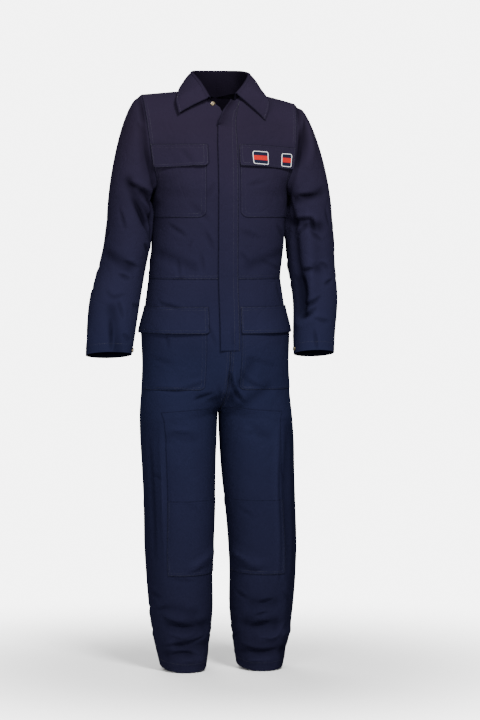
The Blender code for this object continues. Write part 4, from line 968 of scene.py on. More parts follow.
def navy_twill():
    """Navy cotton twill with painted light and shade: lighter and warmer at the chest, painted
    shade towards the ankles, in the seams' crevices, in crease troughs and on the inside, and a
    painted highlight on crease crests.
    """
    made, tree, shader = new_material("navy_twill")
    ribs = place(tree, "Group", node_tree=weave).outputs
    gap = place(tree, "Attribute", attribute_name="from_seam").outputs["Fac"]
    sewn = place(tree, "Group", {"From Seam": gap}, node_tree=relief).outputs
    where = place(tree, "TexCoord").outputs["Object"]
    height = place(tree, "SeparateXYZ", {0: where}).outputs[2]
    # Painted light and shade by height: lighter and warmer towards the chest, darker towards the
    # ankles.
    chest_light_share = place(tree, "MapRange", {0: height, 1: -0.70, 2: -0.10}).outputs[0]
    ground = mixed(tree, chest_light_share, WAIST_NAVY, LIT_CHEST_NAVY)
    depth = place(tree, "MapRange", {0: height, 1: -0.80, 2: -1.45}).outputs[0]
    ground = mixed(tree, depth, ground, SHADED_ANKLE_NAVY)
    shade = maths(tree, "MULTIPLY_ADD", noise(tree, where, 7.0, 4.0), 0.34, 0.83)
    shade = maths(tree, "MULTIPLY", shade, maths(tree, "MULTIPLY_ADD", ribs["Yarn"], 0.24, 0.88))
    # Painted shading: down to 0.4 of the colour in crease troughs, on the inside and on the
    # collar's stand, up to 1.25 on crests.
    painted_shading = place(tree, "Attribute", attribute_name="painted_shading").outputs["Fac"]
    kept = place(tree, "MapRange", {0: painted_shading, 1: -1.0, 2: 0.0, 3: 0.40}).outputs[0]
    crest_highlight = place(tree, "MapRange", {0: painted_shading, 3: 1.0, 4: 1.25}).outputs[0]
    shade = maths(tree, "MULTIPLY", shade, maths(tree, "MULTIPLY", kept, crest_highlight))
    dyed = place(tree, "HueSaturation", {"Color": ground, "Value": shade}).outputs[0]
    # Painted shade in the crevice along every seam and folded edge.
    seam_shaded = mixed(tree, maths(tree, "MULTIPLY", sewn["Seam Shade"], 0.60), dyed, SEAM_SHADE)
    wrinkles = place(tree, "Group", node_tree=crumple).outputs[0]
    soft = bumped(tree, wrinkles, 0.30, 0.006)
    raised = bumped(tree, sewn["Height"], 0.5, 0.0012, Normal=soft)
    feed(tree, shader, {
        "Base Color": seam_shaded, "Specular IOR Level": 0.0,
        "Roughness": maths(tree, "MULTIPLY_ADD", ribs["Yarn"], 0.14, 0.80),
        "Normal": bumped(tree, ribs["Height"], 0.35, 0.0002, Normal=raised)})
    return made


twill = navy_twill()
CLOTH = 0.0014


def put(name, data):
    """An object in the scene, made of a mesh, a lamp or a camera."""
    made = bpy.data.objects.new(name, data)
    bpy.context.scene.collection.objects.link(made)
    return made


def dressed(name, mesh, finish, *nodes, slot="navy_cotton"):
    """A piece of the suit in place of its plain CAD nodes."""
    mesh.materials.append(finish)
    made = put(name, mesh)
    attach(made, "root")
    if nodes:
        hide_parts(*nodes)
    return made


normals = sewn_normals(grids)
lifts = {name: fold_depth(grid, normals[name]) + creased(name, grid)
         for name, grid in grids.items()}
grids = {name: grid + normals[name] * lifts[name][..., None] for name, grid in grids.items()}
normals = sewn_normals(grids)
skins = {name: (grids[name], normals[name]) for name in grids}
# How high a crease must be for its crest to get the full painted highlight; a trough as deep gets
# full painted shade.
CREST = {"leg": 0.022, "sleeve": 0.0095, "front": 0.016, "back": 0.013}
crest_points = np.concatenate([grid.reshape(-1, 3) for grid in grids.values()])
crest_lifts = np.concatenate([
    lifts[name].ravel() / CREST[next(kind for kind in CREST if name.startswith(kind))]
    for name in grids])
crests = KDTree(len(crest_points))
for number, point in enumerate(crest_points):
    crests.insert(point, number)
crests.balance()


def crest_at(point):
    """How much painted light or shade the cloth gets at a point, from the height of the creases
    nearest to it: a highlight on crests, shade in troughs.
    """
    near = crests.find_n(point, 3)
    weights = [1 / (distance + .0005) ** 2 for _, _, distance in near]
    lift = sum(weight * crest_lifts[number] for weight, (_, number, _) in zip(weights, near))
    return lift / sum(weights)


def half_turned(skin):
    """A sleeve's skin, starting from the seam under the arm."""
    half = (skin[0].shape[1] - 1) // 2
    return tuple(np.concatenate([layer[:, half:-1], layer[:, :half + 1]], 1) for layer in skin)


SEWN_EDGES = {
    "front": ("last", "low", "high"), "leg_front": ("first", "last", "low"),
    "leg_back": ("first", "last", "low"), "back": ("last", "low", "high"),
    "sleeve": ("first", "last", "low"),
}


# Painted shade on the legs' outer sides, stronger on the wearer's left leg.
OUTER_LEG_SHADE = {"leg_front_right": -.15, "leg_front_left": -.50, "leg_back_right": -.15,
            "leg_back_left": -.50}


def outer_leg_shade(name, grid):
    """Painted shade on a leg's outer side, beyond the knee patch: 0 or below."""
    column = np.arange(grid.shape[1]) / FINE
    side = soft_step(column - 7, .5) if "front" in name else soft_step(column - 5, 3)
    low = soft_step(CROTCH_LEVEL + .03 - grid[..., 2], .05)
    return OUTER_LEG_SHADE.get(name, 0) * side * low


pieces = {}
for name in list(skins):
    kind, side = name.rsplit("_", 1)
    if kind == "back":
        continue
    skin = half_turned(skins[name]) if kind == "sleeve" else skins[name]
    layer = (*skin, from_seams(skin[0], SEWN_EDGES[kind]), outer_leg_shade(name, skin[0]))
    pieces[name] = dressed(name + "_cloth", cloth_mesh(name, [layer], -CLOTH, 0), twill, name)
halves = [(*skins[name], from_seams(skins[name][0], SEWN_EDGES["back"]))
          for name in ("back_right", "back_left")]
pieces["back"] = dressed("back_cloth", cloth_mesh("back", halves, -CLOTH, 0), twill, "back")
for name, piece in pieces.items():
    halves = 2 if name == "back" else 1


# Knee patches, pockets and flaps ------------------------------------------------------
# Cut from the same twill, their edges folded under and held by two rows of stitching.
# The pockets' lower corners are rounded, the flaps hang over them a little proud, and
# the lower half of each knee patch is a pocket for a pad, open along its top.

class Patch(NamedTuple):
    """A place for a piece on a panel: rows and columns of the cut, and its flat size."""
    skin: tuple
    top: float
    bottom: float
    first: float
    last: float
    width: float
    height: float
    radius: float       # of its lower corners


def sample(grid, rows, columns):
    """Points inside a grid, by fractional row and column numbers."""
    r = np.clip(np.floor(rows).astype(int), 0, grid.shape[0] - 2)
    c = np.clip(np.floor(columns).astype(int), 0, grid.shape[1] - 2)
    u, v = (rows - r)[..., None], (columns - c)[..., None]
    return ((1 - u) * (1 - v) * grid[r, c] + u * (1 - v) * grid[r + 1, c]
            + (1 - u) * v * grid[r, c + 1] + u * v * grid[r + 1, c + 1])


def patch_on(skin, top, bottom, first, last, radius):
    """A patch between rows and columns of the cut, measured over the cloth."""
    rows, columns = np.linspace(top, bottom, 60) * FINE, np.linspace(first, last, 60) * FINE
    middle_row = np.full(60, rows[30])
    middle_column = np.full(60, columns[30])
    width = np.linalg.norm(np.diff(sample(skin[0], middle_row, columns), axis=0), axis=1).sum()
    height = np.linalg.norm(np.diff(sample(skin[0], rows, middle_column), axis=0), axis=1).sum()
    return Patch(skin, top, bottom, first, last, width, height, radius)


def on_patch(patch, across, down):
    """Points and normals of the cloth, from metres across and down a patch."""
    rows = (patch.top + (patch.bottom - patch.top) * down / patch.height) * FINE
    columns = (patch.first + (patch.last - patch.first) * across / patch.width) * FINE
    points, ways = (sample(layer, rows, columns) for layer in patch.skin)
    return points, ways / np.linalg.norm(ways, axis=-1, keepdims=True)


def steps_between(length, step, rounded=0.0):
    """Places along a length, close together at both ends for the folded edge."""
    edge = np.array([0, .0004, .0010, .0020, .0040])
    if rounded:
        edge = np.union1d(edge, rounded * (1 - np.cos(np.linspace(0, pi / 2, 8))))
    count = max(2, int((length - 2 * edge[-1]) / step))
    return np.union1d(np.concatenate([edge, length - edge]),
                      np.linspace(edge[-1], length - edge[-1], count))


def patch_layer(patch, step=.0055):
    """The patch's own grid of cloth, with its lower corners rounded off."""
    across = steps_between(patch.width, step, patch.radius)
    down = steps_between(patch.height, step)
    side = np.minimum(across, patch.width - across)
    inside = np.clip(patch.radius - side, 0, None)
    cut = patch.radius - np.sqrt(patch.radius**2 - inside**2)
    a = np.tile(across, (len(down), 1))
    b = down[:, None] * (patch.height - cut) / patch.height
    points, ways = on_patch(patch, a, b)
    return points, ways, a, b


HEM_EDGE, HEM_REACH = 0.30, .0020       # thickness at a folded edge, and where it is full


def hem_roll(gap):
    """Share of the cloth's thickness at a distance from its folded edge."""
    round_off = np.sqrt(1 - (1 - np.minimum(gap / HEM_REACH, 1)) ** 2)
    return HEM_EDGE + (1 - HEM_EDGE) * round_off


def drooped(name, across, down):
    """Share of a flap's droop at shares of its width and height."""
    return (1 + .45 * np.sin(2 * pi * (across * 1.4 + len(name) * .13))) * down**2


def sewn_patch(name, patch, inside, thickness, droop=0.0, full=0.0, nodes=()):
    """A piece sewn on a panel; droop lifts its lower edge and full swells its middle."""
    points, ways, a, b = patch_layer(patch)
    s, t = a / patch.width, b / patch.height
    gap = from_seams(points, ("first", "last", "low", "high"))
    lift = droop * drooped(name, s, t) + full * np.sin(pi * s) * np.sin(pi * np.minimum(t, 1))
    mesh = cloth_mesh(name, [(points, ways, gap)], inside + lift,
                      inside + lift + thickness * hem_roll(gap))
    piece = dressed(name + "_cloth", mesh, twill, *nodes)


def outline(patch, inset, sides="left bottom right", start=0.0):
    """A row of stitching inside a patch's edges, as points across and down it."""
    w, h, r = patch.width, patch.height, max(patch.radius - inset, 0.0002)
    turn = np.linspace(0, pi / 2, 9)
    left = [(inset, start)] if "left" in sides else []
    right = [(w - inset, start)] if "right" in sides else []
    lower = []
    if "bottom" in sides:
        lower = [(inset + r - r * cos(n), h - inset - r + r * sin(n)) for n in turn]
        lower += [(w - inset - r + r * sin(n), h - inset - r + r * cos(n)) for n in turn]
    line = np.array(left + lower + right)
    walked = walked_along(line)
    even = np.linspace(0, walked[-1], max(2, int(walked[-1] / .004)))
    return np.interp(even, walked, line[:, 0]), np.interp(even, walked, line[:, 1])


TRIM = .0013
POCKET_IN, FLAP_IN = .0002, .0021       # how far out a pocket and a flap start
POCKET_CORNER, FLAP_CORNER, SQUARE_CORNER = .014, .010, .0003
KNEE_POCKET_IN = POCKET_IN + .0009
FULL = .0012                            # how far a pocket's middle stands off
DOUBLE_ROW = (.0022, .0085)             # stitching's distances from an edge
FLAP_DROOP = .0048                      # how far a flap's lower edge stands off
stitching = []                          # rows of stitching: points, normals, height
flaps = {}


def stitch_patch(patch, height, flap="", **kept):
    """Rows of stitching round a patch, at its own height."""
    for inset in DOUBLE_ROW:
        across, down = outline(patch, inset, **kept)
        lift = FLAP_DROOP * drooped(flap, across / patch.width, down / patch.height) if flap else 0
        stitching.append((*on_patch(patch, across, down), height + lift))


for side, name in SIDE_NAME.items():
    front, leg = skins["front_" + name], skins["leg_front_" + name]
    chest_bottom, chest_low, chest_top = (cut_levels.index(level) for level in (2, 5, 6))
    hip_top, hip_low, hip_bottom = (leg_cuts.index(z) for z in (-.552, -.621, HIP_POCKET_Z))
    knee_top, knee_open, knee_bottom = (leg_cuts.index(z) for z in (KNEE_PATCH_Z, -1.048, -1.238))
    for title, skin, top, low, bottom in (
            ("chest", front, chest_top, chest_low, chest_bottom),
            ("hip", leg, hip_top, hip_low, hip_bottom)):
        inner = top + .2 * np.sign(bottom - top)
        pocket = patch_on(skin, inner, bottom, 2.0, 8.0, POCKET_CORNER)
        node = f"{title}_pocket_{name}"
        sewn_patch(node, pocket, POCKET_IN, TRIM, full=FULL, nodes=[node])
        stitch_patch(pocket, POCKET_IN + TRIM)
        flap = patch_on(skin, top, low, 1.8, 8.88, FLAP_CORNER)
        node = f"{title}_flap_{name}"
        sewn_patch(node, flap, FLAP_IN, TRIM, droop=FLAP_DROOP, nodes=[node])
        stitch_patch(flap, FLAP_IN + TRIM, node)
        flaps[node] = flap
        across = np.linspace(.003, flap.width - .003, 60)
        for inset in DOUBLE_ROW:
            points, ways = on_patch(flap, across, np.full(60, inset))
            stitching.append((points, ways, FLAP_IN + TRIM))
    node = f"knee_patch_{name}"
    patch = patch_on(leg, knee_top, knee_open + .08, .06, 7, SQUARE_CORNER)
    sewn_patch(node, patch, POCKET_IN, TRIM, nodes=[node])
    stitch_patch(patch, POCKET_IN + TRIM, sides="left")
    pocket = patch_on(leg, knee_open, knee_bottom, .06, 7, SQUARE_CORNER)
    sewn_patch(f"knee_pocket_{name}", pocket, KNEE_POCKET_IN, TRIM, full=FULL)
    stitch_patch(pocket, KNEE_POCKET_IN + TRIM)


# Placket -------------------------------------------------------------------------------
# A folded strip of twill that covers the front's press studs, from the neck to below
# the waist. Its free edge lies on the wearer's right; the top is undone and turns back.

PLACKET_OPEN = (  # level, free edge
    (7.0, (-.026, -.1145, -.085)), (7.5, (-.018, -.124, -.058)), (8.0, (.004, -.123, -.026)),
)
PLACKET_END_Z = -0.665
FREE_ROWS, HELD_ROW = (.003, .0385), .0025      # stitching, from the free and held edges


def placket_skin():
    """The front's own points under the strip, lifted off where it turns back."""
    end_row = np.interp(-PLACKET_END_Z, -leg_heights, np.arange(len(leg_heights)))
    top_row = nearest(bodice_levels, NECK_LEVEL)
    leg_rows = np.concatenate([[end_row, end_row - .2, end_row - .6],
                               np.arange(int(end_row) - 1, 0, -1)])
    strips = []
    for prefix, rows in (("leg_front_", leg_rows), ("front_", np.arange(top_row + 1.0))):
        parts = []
        for side, shares in ((RIGHT, (1, .985, .95, .85, .7, .5, .3, .15, 0)),
                             (LEFT, (.15, .3, .5, .7, .85, .95, .985, 1))):
            at = np.meshgrid(rows, np.array(shares) * FINE, indexing="ij")
            parts.append([sample(layer, *at) for layer in skins[prefix + SIDE_NAME[side]]])
        strips.append([np.concatenate(pair, 1) for pair in zip(*parts)])
    points, ways = (np.concatenate(pair) for pair in zip(*strips))
    levels = bodice_levels[:top_row + 1]
    for n in np.flatnonzero(levels >= PLACKET_OPEN[0][0]):
        row = n - len(levels)
        free = stance(table_value([entry[0] for entry in PLACKET_OPEN],
                                  [entry[1] for entry in PLACKET_OPEN], [levels[n]]))[0]
        way, held = ways[row, -1].copy(), points[row, -1].copy()
        share = np.linspace(0, 1, points.shape[1])[:, None]
        bow = .004 * (levels[n] - PLACKET_OPEN[0][0])
        points[row] = free + (held - free) * share - way * bow * share * (1 - share)
        ways[row] = way
    return points, ways


points, ways = placket_skin()
gap = from_seams(points, ("first", "last", "low"))
across = unfolded(points)[..., 0]
free_edge = np.exp(-(across / .014) ** 2) * .0042
pressed = 1 - .55 * np.exp(-((across[:, -1:] - across) / .003) ** 2)
mesh = cloth_mesh("placket", [(points, ways, gap)], POCKET_IN + free_edge,
                  POCKET_IN + free_edge + TRIM * pressed * hem_roll(gap))
placket = dressed("placket_cloth", mesh, twill, "placket")


def at_distance(grid, ways, distance, from_last=False):
    """The line on a skin that runs at a distance from its first or last column."""
    if from_last:
        grid, ways = grid[:, ::-1], ways[:, ::-1]
    walked = unfolded(grid)[..., 0]
    column = np.array([np.interp(distance, row, np.arange(len(row))) for row in walked])
    rows = np.arange(len(grid))
    return sample(grid, rows, column), sample(ways, rows, column)


for inset in (*FREE_ROWS, HELD_ROW):
    row = at_distance(points, ways, inset, inset == HELD_ROW)
    stitching.append((*row, POCKET_IN + TRIM))


# Collar --------------------------------------------------------------------------------
# A shirt collar of two layers of twill with a stiffener between them: it stands up from
# the neckline, rolls over and falls on the shoulders in two points, open at the front.

class Station(NamedTuple):
    """One section of the collar: the top of its roll, and the edge of its fall."""
    place: float        # 0 right front, 2 right shoulder, 4 back, 6 left shoulder, 8
    roll: tuple
    edge: tuple


COLLAR = (
    Station(0, (-.045, -.101, -.018), (-.121, -.088, -.060)),
    Station(1, (-.060, -.078, .014), (-.126, -.072, -.028)),
    Station(2, (-.074, -.014, .046), (-.103, -.008, .010)),
    Station(3, (-.056, .052, .054), (-.082, .088, .004)),
    Station(4, (0, .076, .055), (0, .112, -.010)),
    Station(5, (.056, .052, .054), (.082, .088, .002)),
    Station(6, (.073, -.014, .046), (.096, -.010, .006)),
    Station(7, (.048, -.085, .015), (.116, -.076, -.034)),
    Station(8, (.024, -.109, -.009), (.103, -.090, -.077)),
)
COLLAR_STARTS = {RIGHT: 0.22, LEFT: 0.04}   # share of the front neckline left bare
ROLL_RADIUS = 0.0035                        # half the space between stand and fall
COLLAR_CLOTH = 0.0016
COLLAR_ROW = 0.0065                         # stitching's distance from the fall's edge
collar_places = finer(np.concatenate([
    np.linspace(0, 2, 7), np.linspace(2, 6, 11)[1:], np.linspace(6, 8, 7)[1:]]))


def on_line(points, share):
    """A point on a chain of straight stretches, by its share of the length."""
    walked = walked_along(points)
    return np.array([np.interp(share * walked[-1], walked, points[:, n]) for n in range(3)])


def neckline(place_round):
    """The point of the neckline that a place of the collar is sewn to."""
    first = nearest(bodice_levels, NECK_LEVEL)
    side = RIGHT if place_round <= 4 else LEFT
    from_front = place_round if side == RIGHT else 8 - place_round
    if from_front <= 2:
        bare = COLLAR_STARTS[side]
        edge = skins["front_" + SIDE_NAME[side]][0][first:, 0]
        return on_line(edge, bare + (1 - bare) * from_front / 2)
    return on_line(skins["back_" + SIDE_NAME[side]][0][first:, 0][::-1], (from_front - 2) / 2)


def collar_skin():
    """The collar's sections, each up the stand, over the roll and down the fall."""
    keys = [station.place for station in COLLAR]
    rolls = table_value(keys, [station.roll for station in COLLAR], collar_places)
    edges = table_value(keys, [station.edge for station in COLLAR], collar_places)
    up = np.array([0, 0, 1.0])
    grid = []
    for number, (place_round, roll, edge) in enumerate(zip(collar_places, rolls, edges)):
        base = neckline(place_round)
        out = (edge - roll) * (1, 1, 0)
        out /= np.linalg.norm(out)
        turns = np.linspace(0, pi, 9)[:, None]
        bend = roll - ROLL_RADIUS * up + ROLL_RADIUS * (np.sin(turns) * up - np.cos(turns) * out)
        share = np.linspace(0, 1, 9)[:-1, None]
        stand = base + (bend[0] - base) * share - .0015 * out * np.sin(pi * share)
        bow = .0040 + .0012 * sin(number * .35)
        share = np.concatenate([np.linspace(0, 1, 17)[1:-1], [.975, .99, 1]])[:, None]
        fall = bend[-1] + (edge - bend[-1]) * share + bow * out * np.sin(pi * share) ** .8
        grid.append(np.concatenate([stand, bend, fall]))
    return np.array(grid)


points = collar_skin()
ways = facing_out("collar", points)
ways /= np.linalg.norm(ways, axis=2, keepdims=True)
ways *= np.sign(ways[:, 12, 2].sum())
gap = from_seams(points, ("last", "low", "high"))
# Painted shade on the collar's stand inside the neck, fading out over the roll.
painted_stand_shade = np.broadcast_to(np.interp(np.arange(points.shape[1]), (8, 14), (-1, 0)), gap.shape)
mesh = cloth_mesh("collar", [(points, ways, gap, painted_stand_shade)], 0, COLLAR_CLOTH * hem_roll(gap))
collar = dressed("collar_cloth", mesh, twill, "collar")
stitching.append((*at_distance(points, ways, COLLAR_ROW, True), COLLAR_CLOTH))


# Press studs -----------------------------------------------------------------------------
# Ring-capped brass press studs, a little dulled: one shows at the open neck and one on
# each cuff. The cap is pressed from sheet, with a rolled rim and a shallow dish.

STUD_RADIUS = 0.0058
STUD_PROFILE = (  # radius, height above the cloth
    (1.00, 0.0000), (1.00, .0007), (.985, .0012), (.94, .0016), (.88, .0017), (.82, .0016),
    (.77, .0012), (.70, .0010), (.45, .0011), (.20, .0012), (.001, .0012),
)


def dulled_brass():
    """Brass under an uneven film, duller where the film is thick."""
    made, tree, shader = new_material("dulled_brass")
    film = noise(tree, place(tree, "TexCoord").outputs["Object"], 420.0, 3.0)
    feed(tree, shader, {
        "Base Color": mixed(tree, film, (.07, .055, .035), (.26, .21, .13)), "Metallic": 1.0,
        "Roughness": maths(tree, "MULTIPLY_ADD", film, 0.35, 0.18)})
    return made


brass = dulled_brass()


def press_stud(name, point, way, node):
    """A cap turned from its profile, flat on the cloth, with a short post into it."""
    turn = Vector((0, 0, 1)).rotation_difference(Vector(way)).to_matrix()
    rounds, points, faces = 28, [], []
    profile = ((1.0, -.0014),) + STUD_PROFILE
    for radius, height in profile:
        for step in range(rounds):
            angle = 2 * pi * step / rounds
            spot = Vector((STUD_RADIUS * radius * cos(angle),
                           STUD_RADIUS * radius * sin(angle), height + .0010))
            points.append(Vector(point) + turn @ spot)
    for ring in range(len(profile) - 1):
        for step in range(rounds):
            a, b = ring * rounds + step, ring * rounds + (step + 1) % rounds
            faces.append((a, b, b + rounds, a + rounds))
    faces.append(tuple(range(rounds))[::-1])
    mesh = bpy.data.meshes.new(name)
    mesh.from_pydata(points, [], faces)
    mesh.shade_smooth()
    mesh.set_sharp_from_angle(angle=radians(60))
    dressed(name, mesh, brass, node, slot="stud_brass")


def cell_middle(row, column, coarse_rows):
    """The middle of a cell of the cut, in fine rows and columns."""
    return ((int(row) % coarse_rows) + .5) * FINE, (int(column) + .5) * FINE


spot = [np.array([n]) for n in cell_middle(15, .8, len(cut_levels))]
press_stud("stud_neck_cap", *(sample(layer, *spot)[0] for layer in skins["front_right"]),
           "stud_neck")
CUFF_STUD_ANGLES = {RIGHT: 172, LEFT: 166}
for side, angle in CUFF_STUD_ANGLES.items():
    name = SIDE_NAME[side]
    angles = armhole(side)[1][::FINE]
    column = np.interp(radians(angle), angles, np.arange(len(angles)))
    rows = (len(skins["sleeve_" + name][0]) - 1) // FINE + 1
    spot = [np.array([n]) for n in cell_middle(-2, column, rows)]
    cap = (sample(layer, *spot)[0] for layer in skins["sleeve_" + name])
    press_stud(f"stud_cuff_{name}_cap", *cap, f"stud_cuff_{name}")


# Woven badges ------------------------------------------------------------------------------
# Two small woven patches on the wearer's left chest flap, a plain red bar on navy
# inside a thick overlocked border of white thread. The outer one bends round the side.

BADGE_LOW_ROW, BADGE_HIGH_ROW = 10.24, 11.38
BADGES = {"badge_inner": (.064, .104), "badge_outer": (.143, .170)}     # between two x
BADGE_CLOTH = .0008
BADGE_CORNER = .0045
OVERLOCK_RADIUS = .0009


def on_flap(patch, across, down):
    """How far out the chest flap's face lies under places of a badge."""
    row = patch.top + (patch.bottom - patch.top) * down / patch.height
    column = patch.first + (patch.last - patch.first) * across / patch.width
    flap = flaps["chest_flap_left"]
    return FLAP_IN + TRIM + .0002 + FLAP_DROOP * drooped(
        "chest_flap_left", (column - flap.first) / (flap.last - flap.first),
        (row - flap.top) / (flap.bottom - flap.top))


def woven_bars(height):
    """Ribbed weave with a broad red bar on navy."""
    made, tree, shader = new_material("woven_badge")
    cloth = place(tree, "UVMap", uv_map="cloth").outputs[0]
    down = place(tree, "SeparateXYZ", {0: cloth}).outputs[1]
    share = maths(tree, "DIVIDE", down, height)
    bars = place(tree, "ValToRGB", {0: share})
    ramp = bars.color_ramp
    ramp.interpolation = "CONSTANT"
    navy, red = (.0045, .006, .020, 1), (.40, .010, .008, 1)
    stops = ((0, navy), (.31, red), (.68, navy))
    ramp.elements[0].color = stops[0][1]
    ramp.elements[1].position, ramp.elements[1].color = stops[-1]
    for position, colour in stops[1:-1]:
        ramp.elements.new(position).color = colour
    rib = maths(tree, "SINE", maths(tree, "MULTIPLY", down, 2 * pi * 1600))
    shade = maths(tree, "MULTIPLY_ADD", noise(tree, cloth, 1500.0), .5, .72)
    dyed = place(tree, "HueSaturation", {"Color": bars.outputs[0], "Value": shade}).outputs[0]
    feed(tree, shader, {"Base Color": dyed, "Normal": bumped(tree, rib, .5, .0002),
                        "Roughness": 0.65, "Specular IOR Level": 0.1})
    return made


def white_overlock():
    """White polyester thread, wound tightly round the badge's edge."""
    made, tree, shader = new_material("white_overlock")
    along = place(tree, "UVMap", uv_map="cloth").outputs[0]
    turn = place(tree, "SeparateXYZ", {0: along}).outputs[0]
    ridge = maths(tree, "SINE", maths(tree, "MULTIPLY", turn, 2 * pi * 2200))
    # Painted shade in the grooves between the thread's turns.
    shade = maths(tree, "MULTIPLY_ADD", ridge, .12, .88)
    wound = place(tree, "HueSaturation", {"Color": (.92, .92, .92, 1), "Value": shade}).outputs[0]
    feed(tree, shader, {"Base Color": wound, "Normal": bumped(tree, ridge, .6, .0002),
                        "Roughness": 0.5})
    return made


def tube_mesh(name, points, ways, radius, around=8):
    """A closed tube of thread laid along a ring of points."""
    tangent = np.roll(points, -1, 0) - np.roll(points, 1, 0)
    tangent /= np.linalg.norm(tangent, axis=1, keepdims=True)
    side = np.cross(ways, tangent)
    turns = np.linspace(0, 2 * pi, around, endpoint=False)
    rings = (points[:, None] + radius * (np.cos(turns)[:, None] * side[:, None]
                                         + np.sin(turns)[:, None] * ways[:, None]))
    count = len(points)
    faces = [(r * around + c, r * around + (c + 1) % around,
              (r + 1) % count * around + (c + 1) % around, (r + 1) % count * around + c)
             for r in range(count) for c in range(around)]
    mesh = bpy.data.meshes.new(name)
    mesh.from_pydata(rings.reshape(-1, 3).tolist(), [], faces)
    walked = np.cumsum(np.linalg.norm(points - np.roll(points, 1, 0), axis=1))
    uv = [(walked[r] if corner in (0, 1) else walked[r] + walked[1] - walked[0], turn)
          for r in range(count) for c in range(around)
          for corner, turn in enumerate((0, 0, 1, 1))]
    mesh.uv_layers.new(name="cloth").data.foreach_set("uv", np.ravel(uv))
    mesh.shade_smooth()
    return mesh


def badge_patch(between):
    """A badge's place on the wearer's left front, between two x."""
    skin = skins["front_left"]
    along = skin[0][int((BADGE_LOW_ROW + BADGE_HIGH_ROW) / 2 * FINE), :, 0]
    first, last = np.interp(between, along, np.arange(len(along))) / FINE
    return patch_on(skin, BADGE_HIGH_ROW, BADGE_LOW_ROW, first, last, BADGE_CORNER)


patches = {name: badge_patch(between) for name, between in BADGES.items()}
white_thread, bars = white_overlock(), woven_bars(patches["badge_inner"].height)
for name, patch in patches.items():
    points, ways, a, b = patch_layer(patch, .002)
    side = np.minimum(a, patch.width - a)
    inside = np.clip(BADGE_CORNER - side, 0, None)
    cut = BADGE_CORNER - np.sqrt(BADGE_CORNER**2 - inside**2)
    share = b / (patch.height - cut)
    down = cut + share * (patch.height - 2 * cut)
    points, ways = on_patch(patch, a, down)
    low = on_flap(patch, a, down)
    gap = from_seams(points, ("first", "last", "low", "high"))
    mesh = cloth_mesh(name, [(points, ways, gap)], low, low + BADGE_CLOTH)
    piece = dressed(name + "_weave", mesh, bars, name, slot="badge_weave")
    turn = np.linspace(0, pi / 2, 7)
    w, h, r = patch.width, patch.height, BADGE_CORNER
    ring = [(r - r * cos(n), r - r * sin(n)) for n in turn]
    ring += [(w - r + r * sin(n), r - r * cos(n)) for n in turn]
    ring += [(w - r + r * cos(n), h - r + r * sin(n)) for n in turn]
    ring += [(r - r * sin(n), h - r + r * cos(n)) for n in turn]
    ring = np.array(ring + ring[:1])
    walked = walked_along(ring)
    even = np.linspace(0, walked[-1], 80)[:-1]
    across, down = (np.interp(even, walked, ring[:, n]) for n in (0, 1))
    points, ways = on_patch(patch, across, down)
    points = points + ways * (on_flap(patch, across, down) + .0005)[:, None]
    border = tube_mesh(name + "_border", points, ways, OVERLOCK_RADIUS)
    dressed(name + "_border", border, white_thread, slot="badge_weave")


# Stitching -----------------------------------------------------------------------------------
# Lockstitch in a navy thread a little darker than the cloth, about three stitches to the
# centimetre. Every seam, hem and patch has it, most of them as a double row.

STITCH_PITCH, STITCH_LENGTH, THREAD_RADIUS = .0034, .0027, .00040


def stitch_mesh(name, rows):
    """Rows of short stitches, each a flat spindle that dips into the cloth at its ends."""
    spots, faces = [], []
    for points, ways, height in rows:
        points = points + ways * np.reshape(height, (-1, 1))
        walked = walked_along(points)
        count = int(walked[-1] / STITCH_PITCH)
        if count < 1:
            continue
        middle = (np.arange(count) + .5) * walked[-1] / count

        def at(values, place_along):
            return np.stack([np.interp(place_along, walked, values[:, n]) for n in range(3)], -1)

        start, end = at(points, middle - STITCH_LENGTH / 2), at(points, middle + STITCH_LENGTH / 2)
        way = at(ways, middle)
        side = np.cross(end - start, way)
        side *= THREAD_RADIUS / np.linalg.norm(side, axis=1, keepdims=True)
        centre = (start + end) / 2
        rise = way * THREAD_RADIUS
        group = np.stack([start - rise * .4, end - rise * .4, centre + side, centre + rise,
                          centre - side], 1)
        base = sum(len(block) for block in spots) + 5 * np.arange(count)[:, None]
        spots.append(group.reshape(-1, 3))
        corners = np.array([(0, 2, 3), (0, 3, 4), (1, 3, 2), (1, 4, 3)])
        faces.append((base[:, None] + corners).reshape(-1, 3))
    mesh = bpy.data.meshes.new(name)
    mesh.from_pydata(np.concatenate(spots).tolist(), [], np.concatenate(faces).tolist())
    mesh.shade_smooth()
    return mesh


def navy_thread():
    """Dark navy thread, uneven from place to place."""
    made, tree, shader = new_material("navy_thread")
    fleck = noise(tree, place(tree, "TexCoord").outputs["Object"], 60.0)
    feed(tree, shader, {"Base Color": mixed(tree, fleck, (.004, .005, .011), (.008, .009, .020)),
                        "Roughness": 0.55})
    return made


def row_along(skin, distance, from_last=False, rows=slice(None)):
    """A row of stitching beside a skin's first or last column."""
    line, ways = at_distance(skin[0], skin[1], distance, from_last)
    return line[rows], ways[rows], 0.0


def row_across(skin, distance, from_high=False, columns=slice(None)):
    """A row of stitching beside a skin's first or last row."""
    turned = [layer.transpose(1, 0, 2) for layer in skin]
    line, ways = at_distance(*turned, distance, from_high)
    return line[columns], ways[columns], 0.0


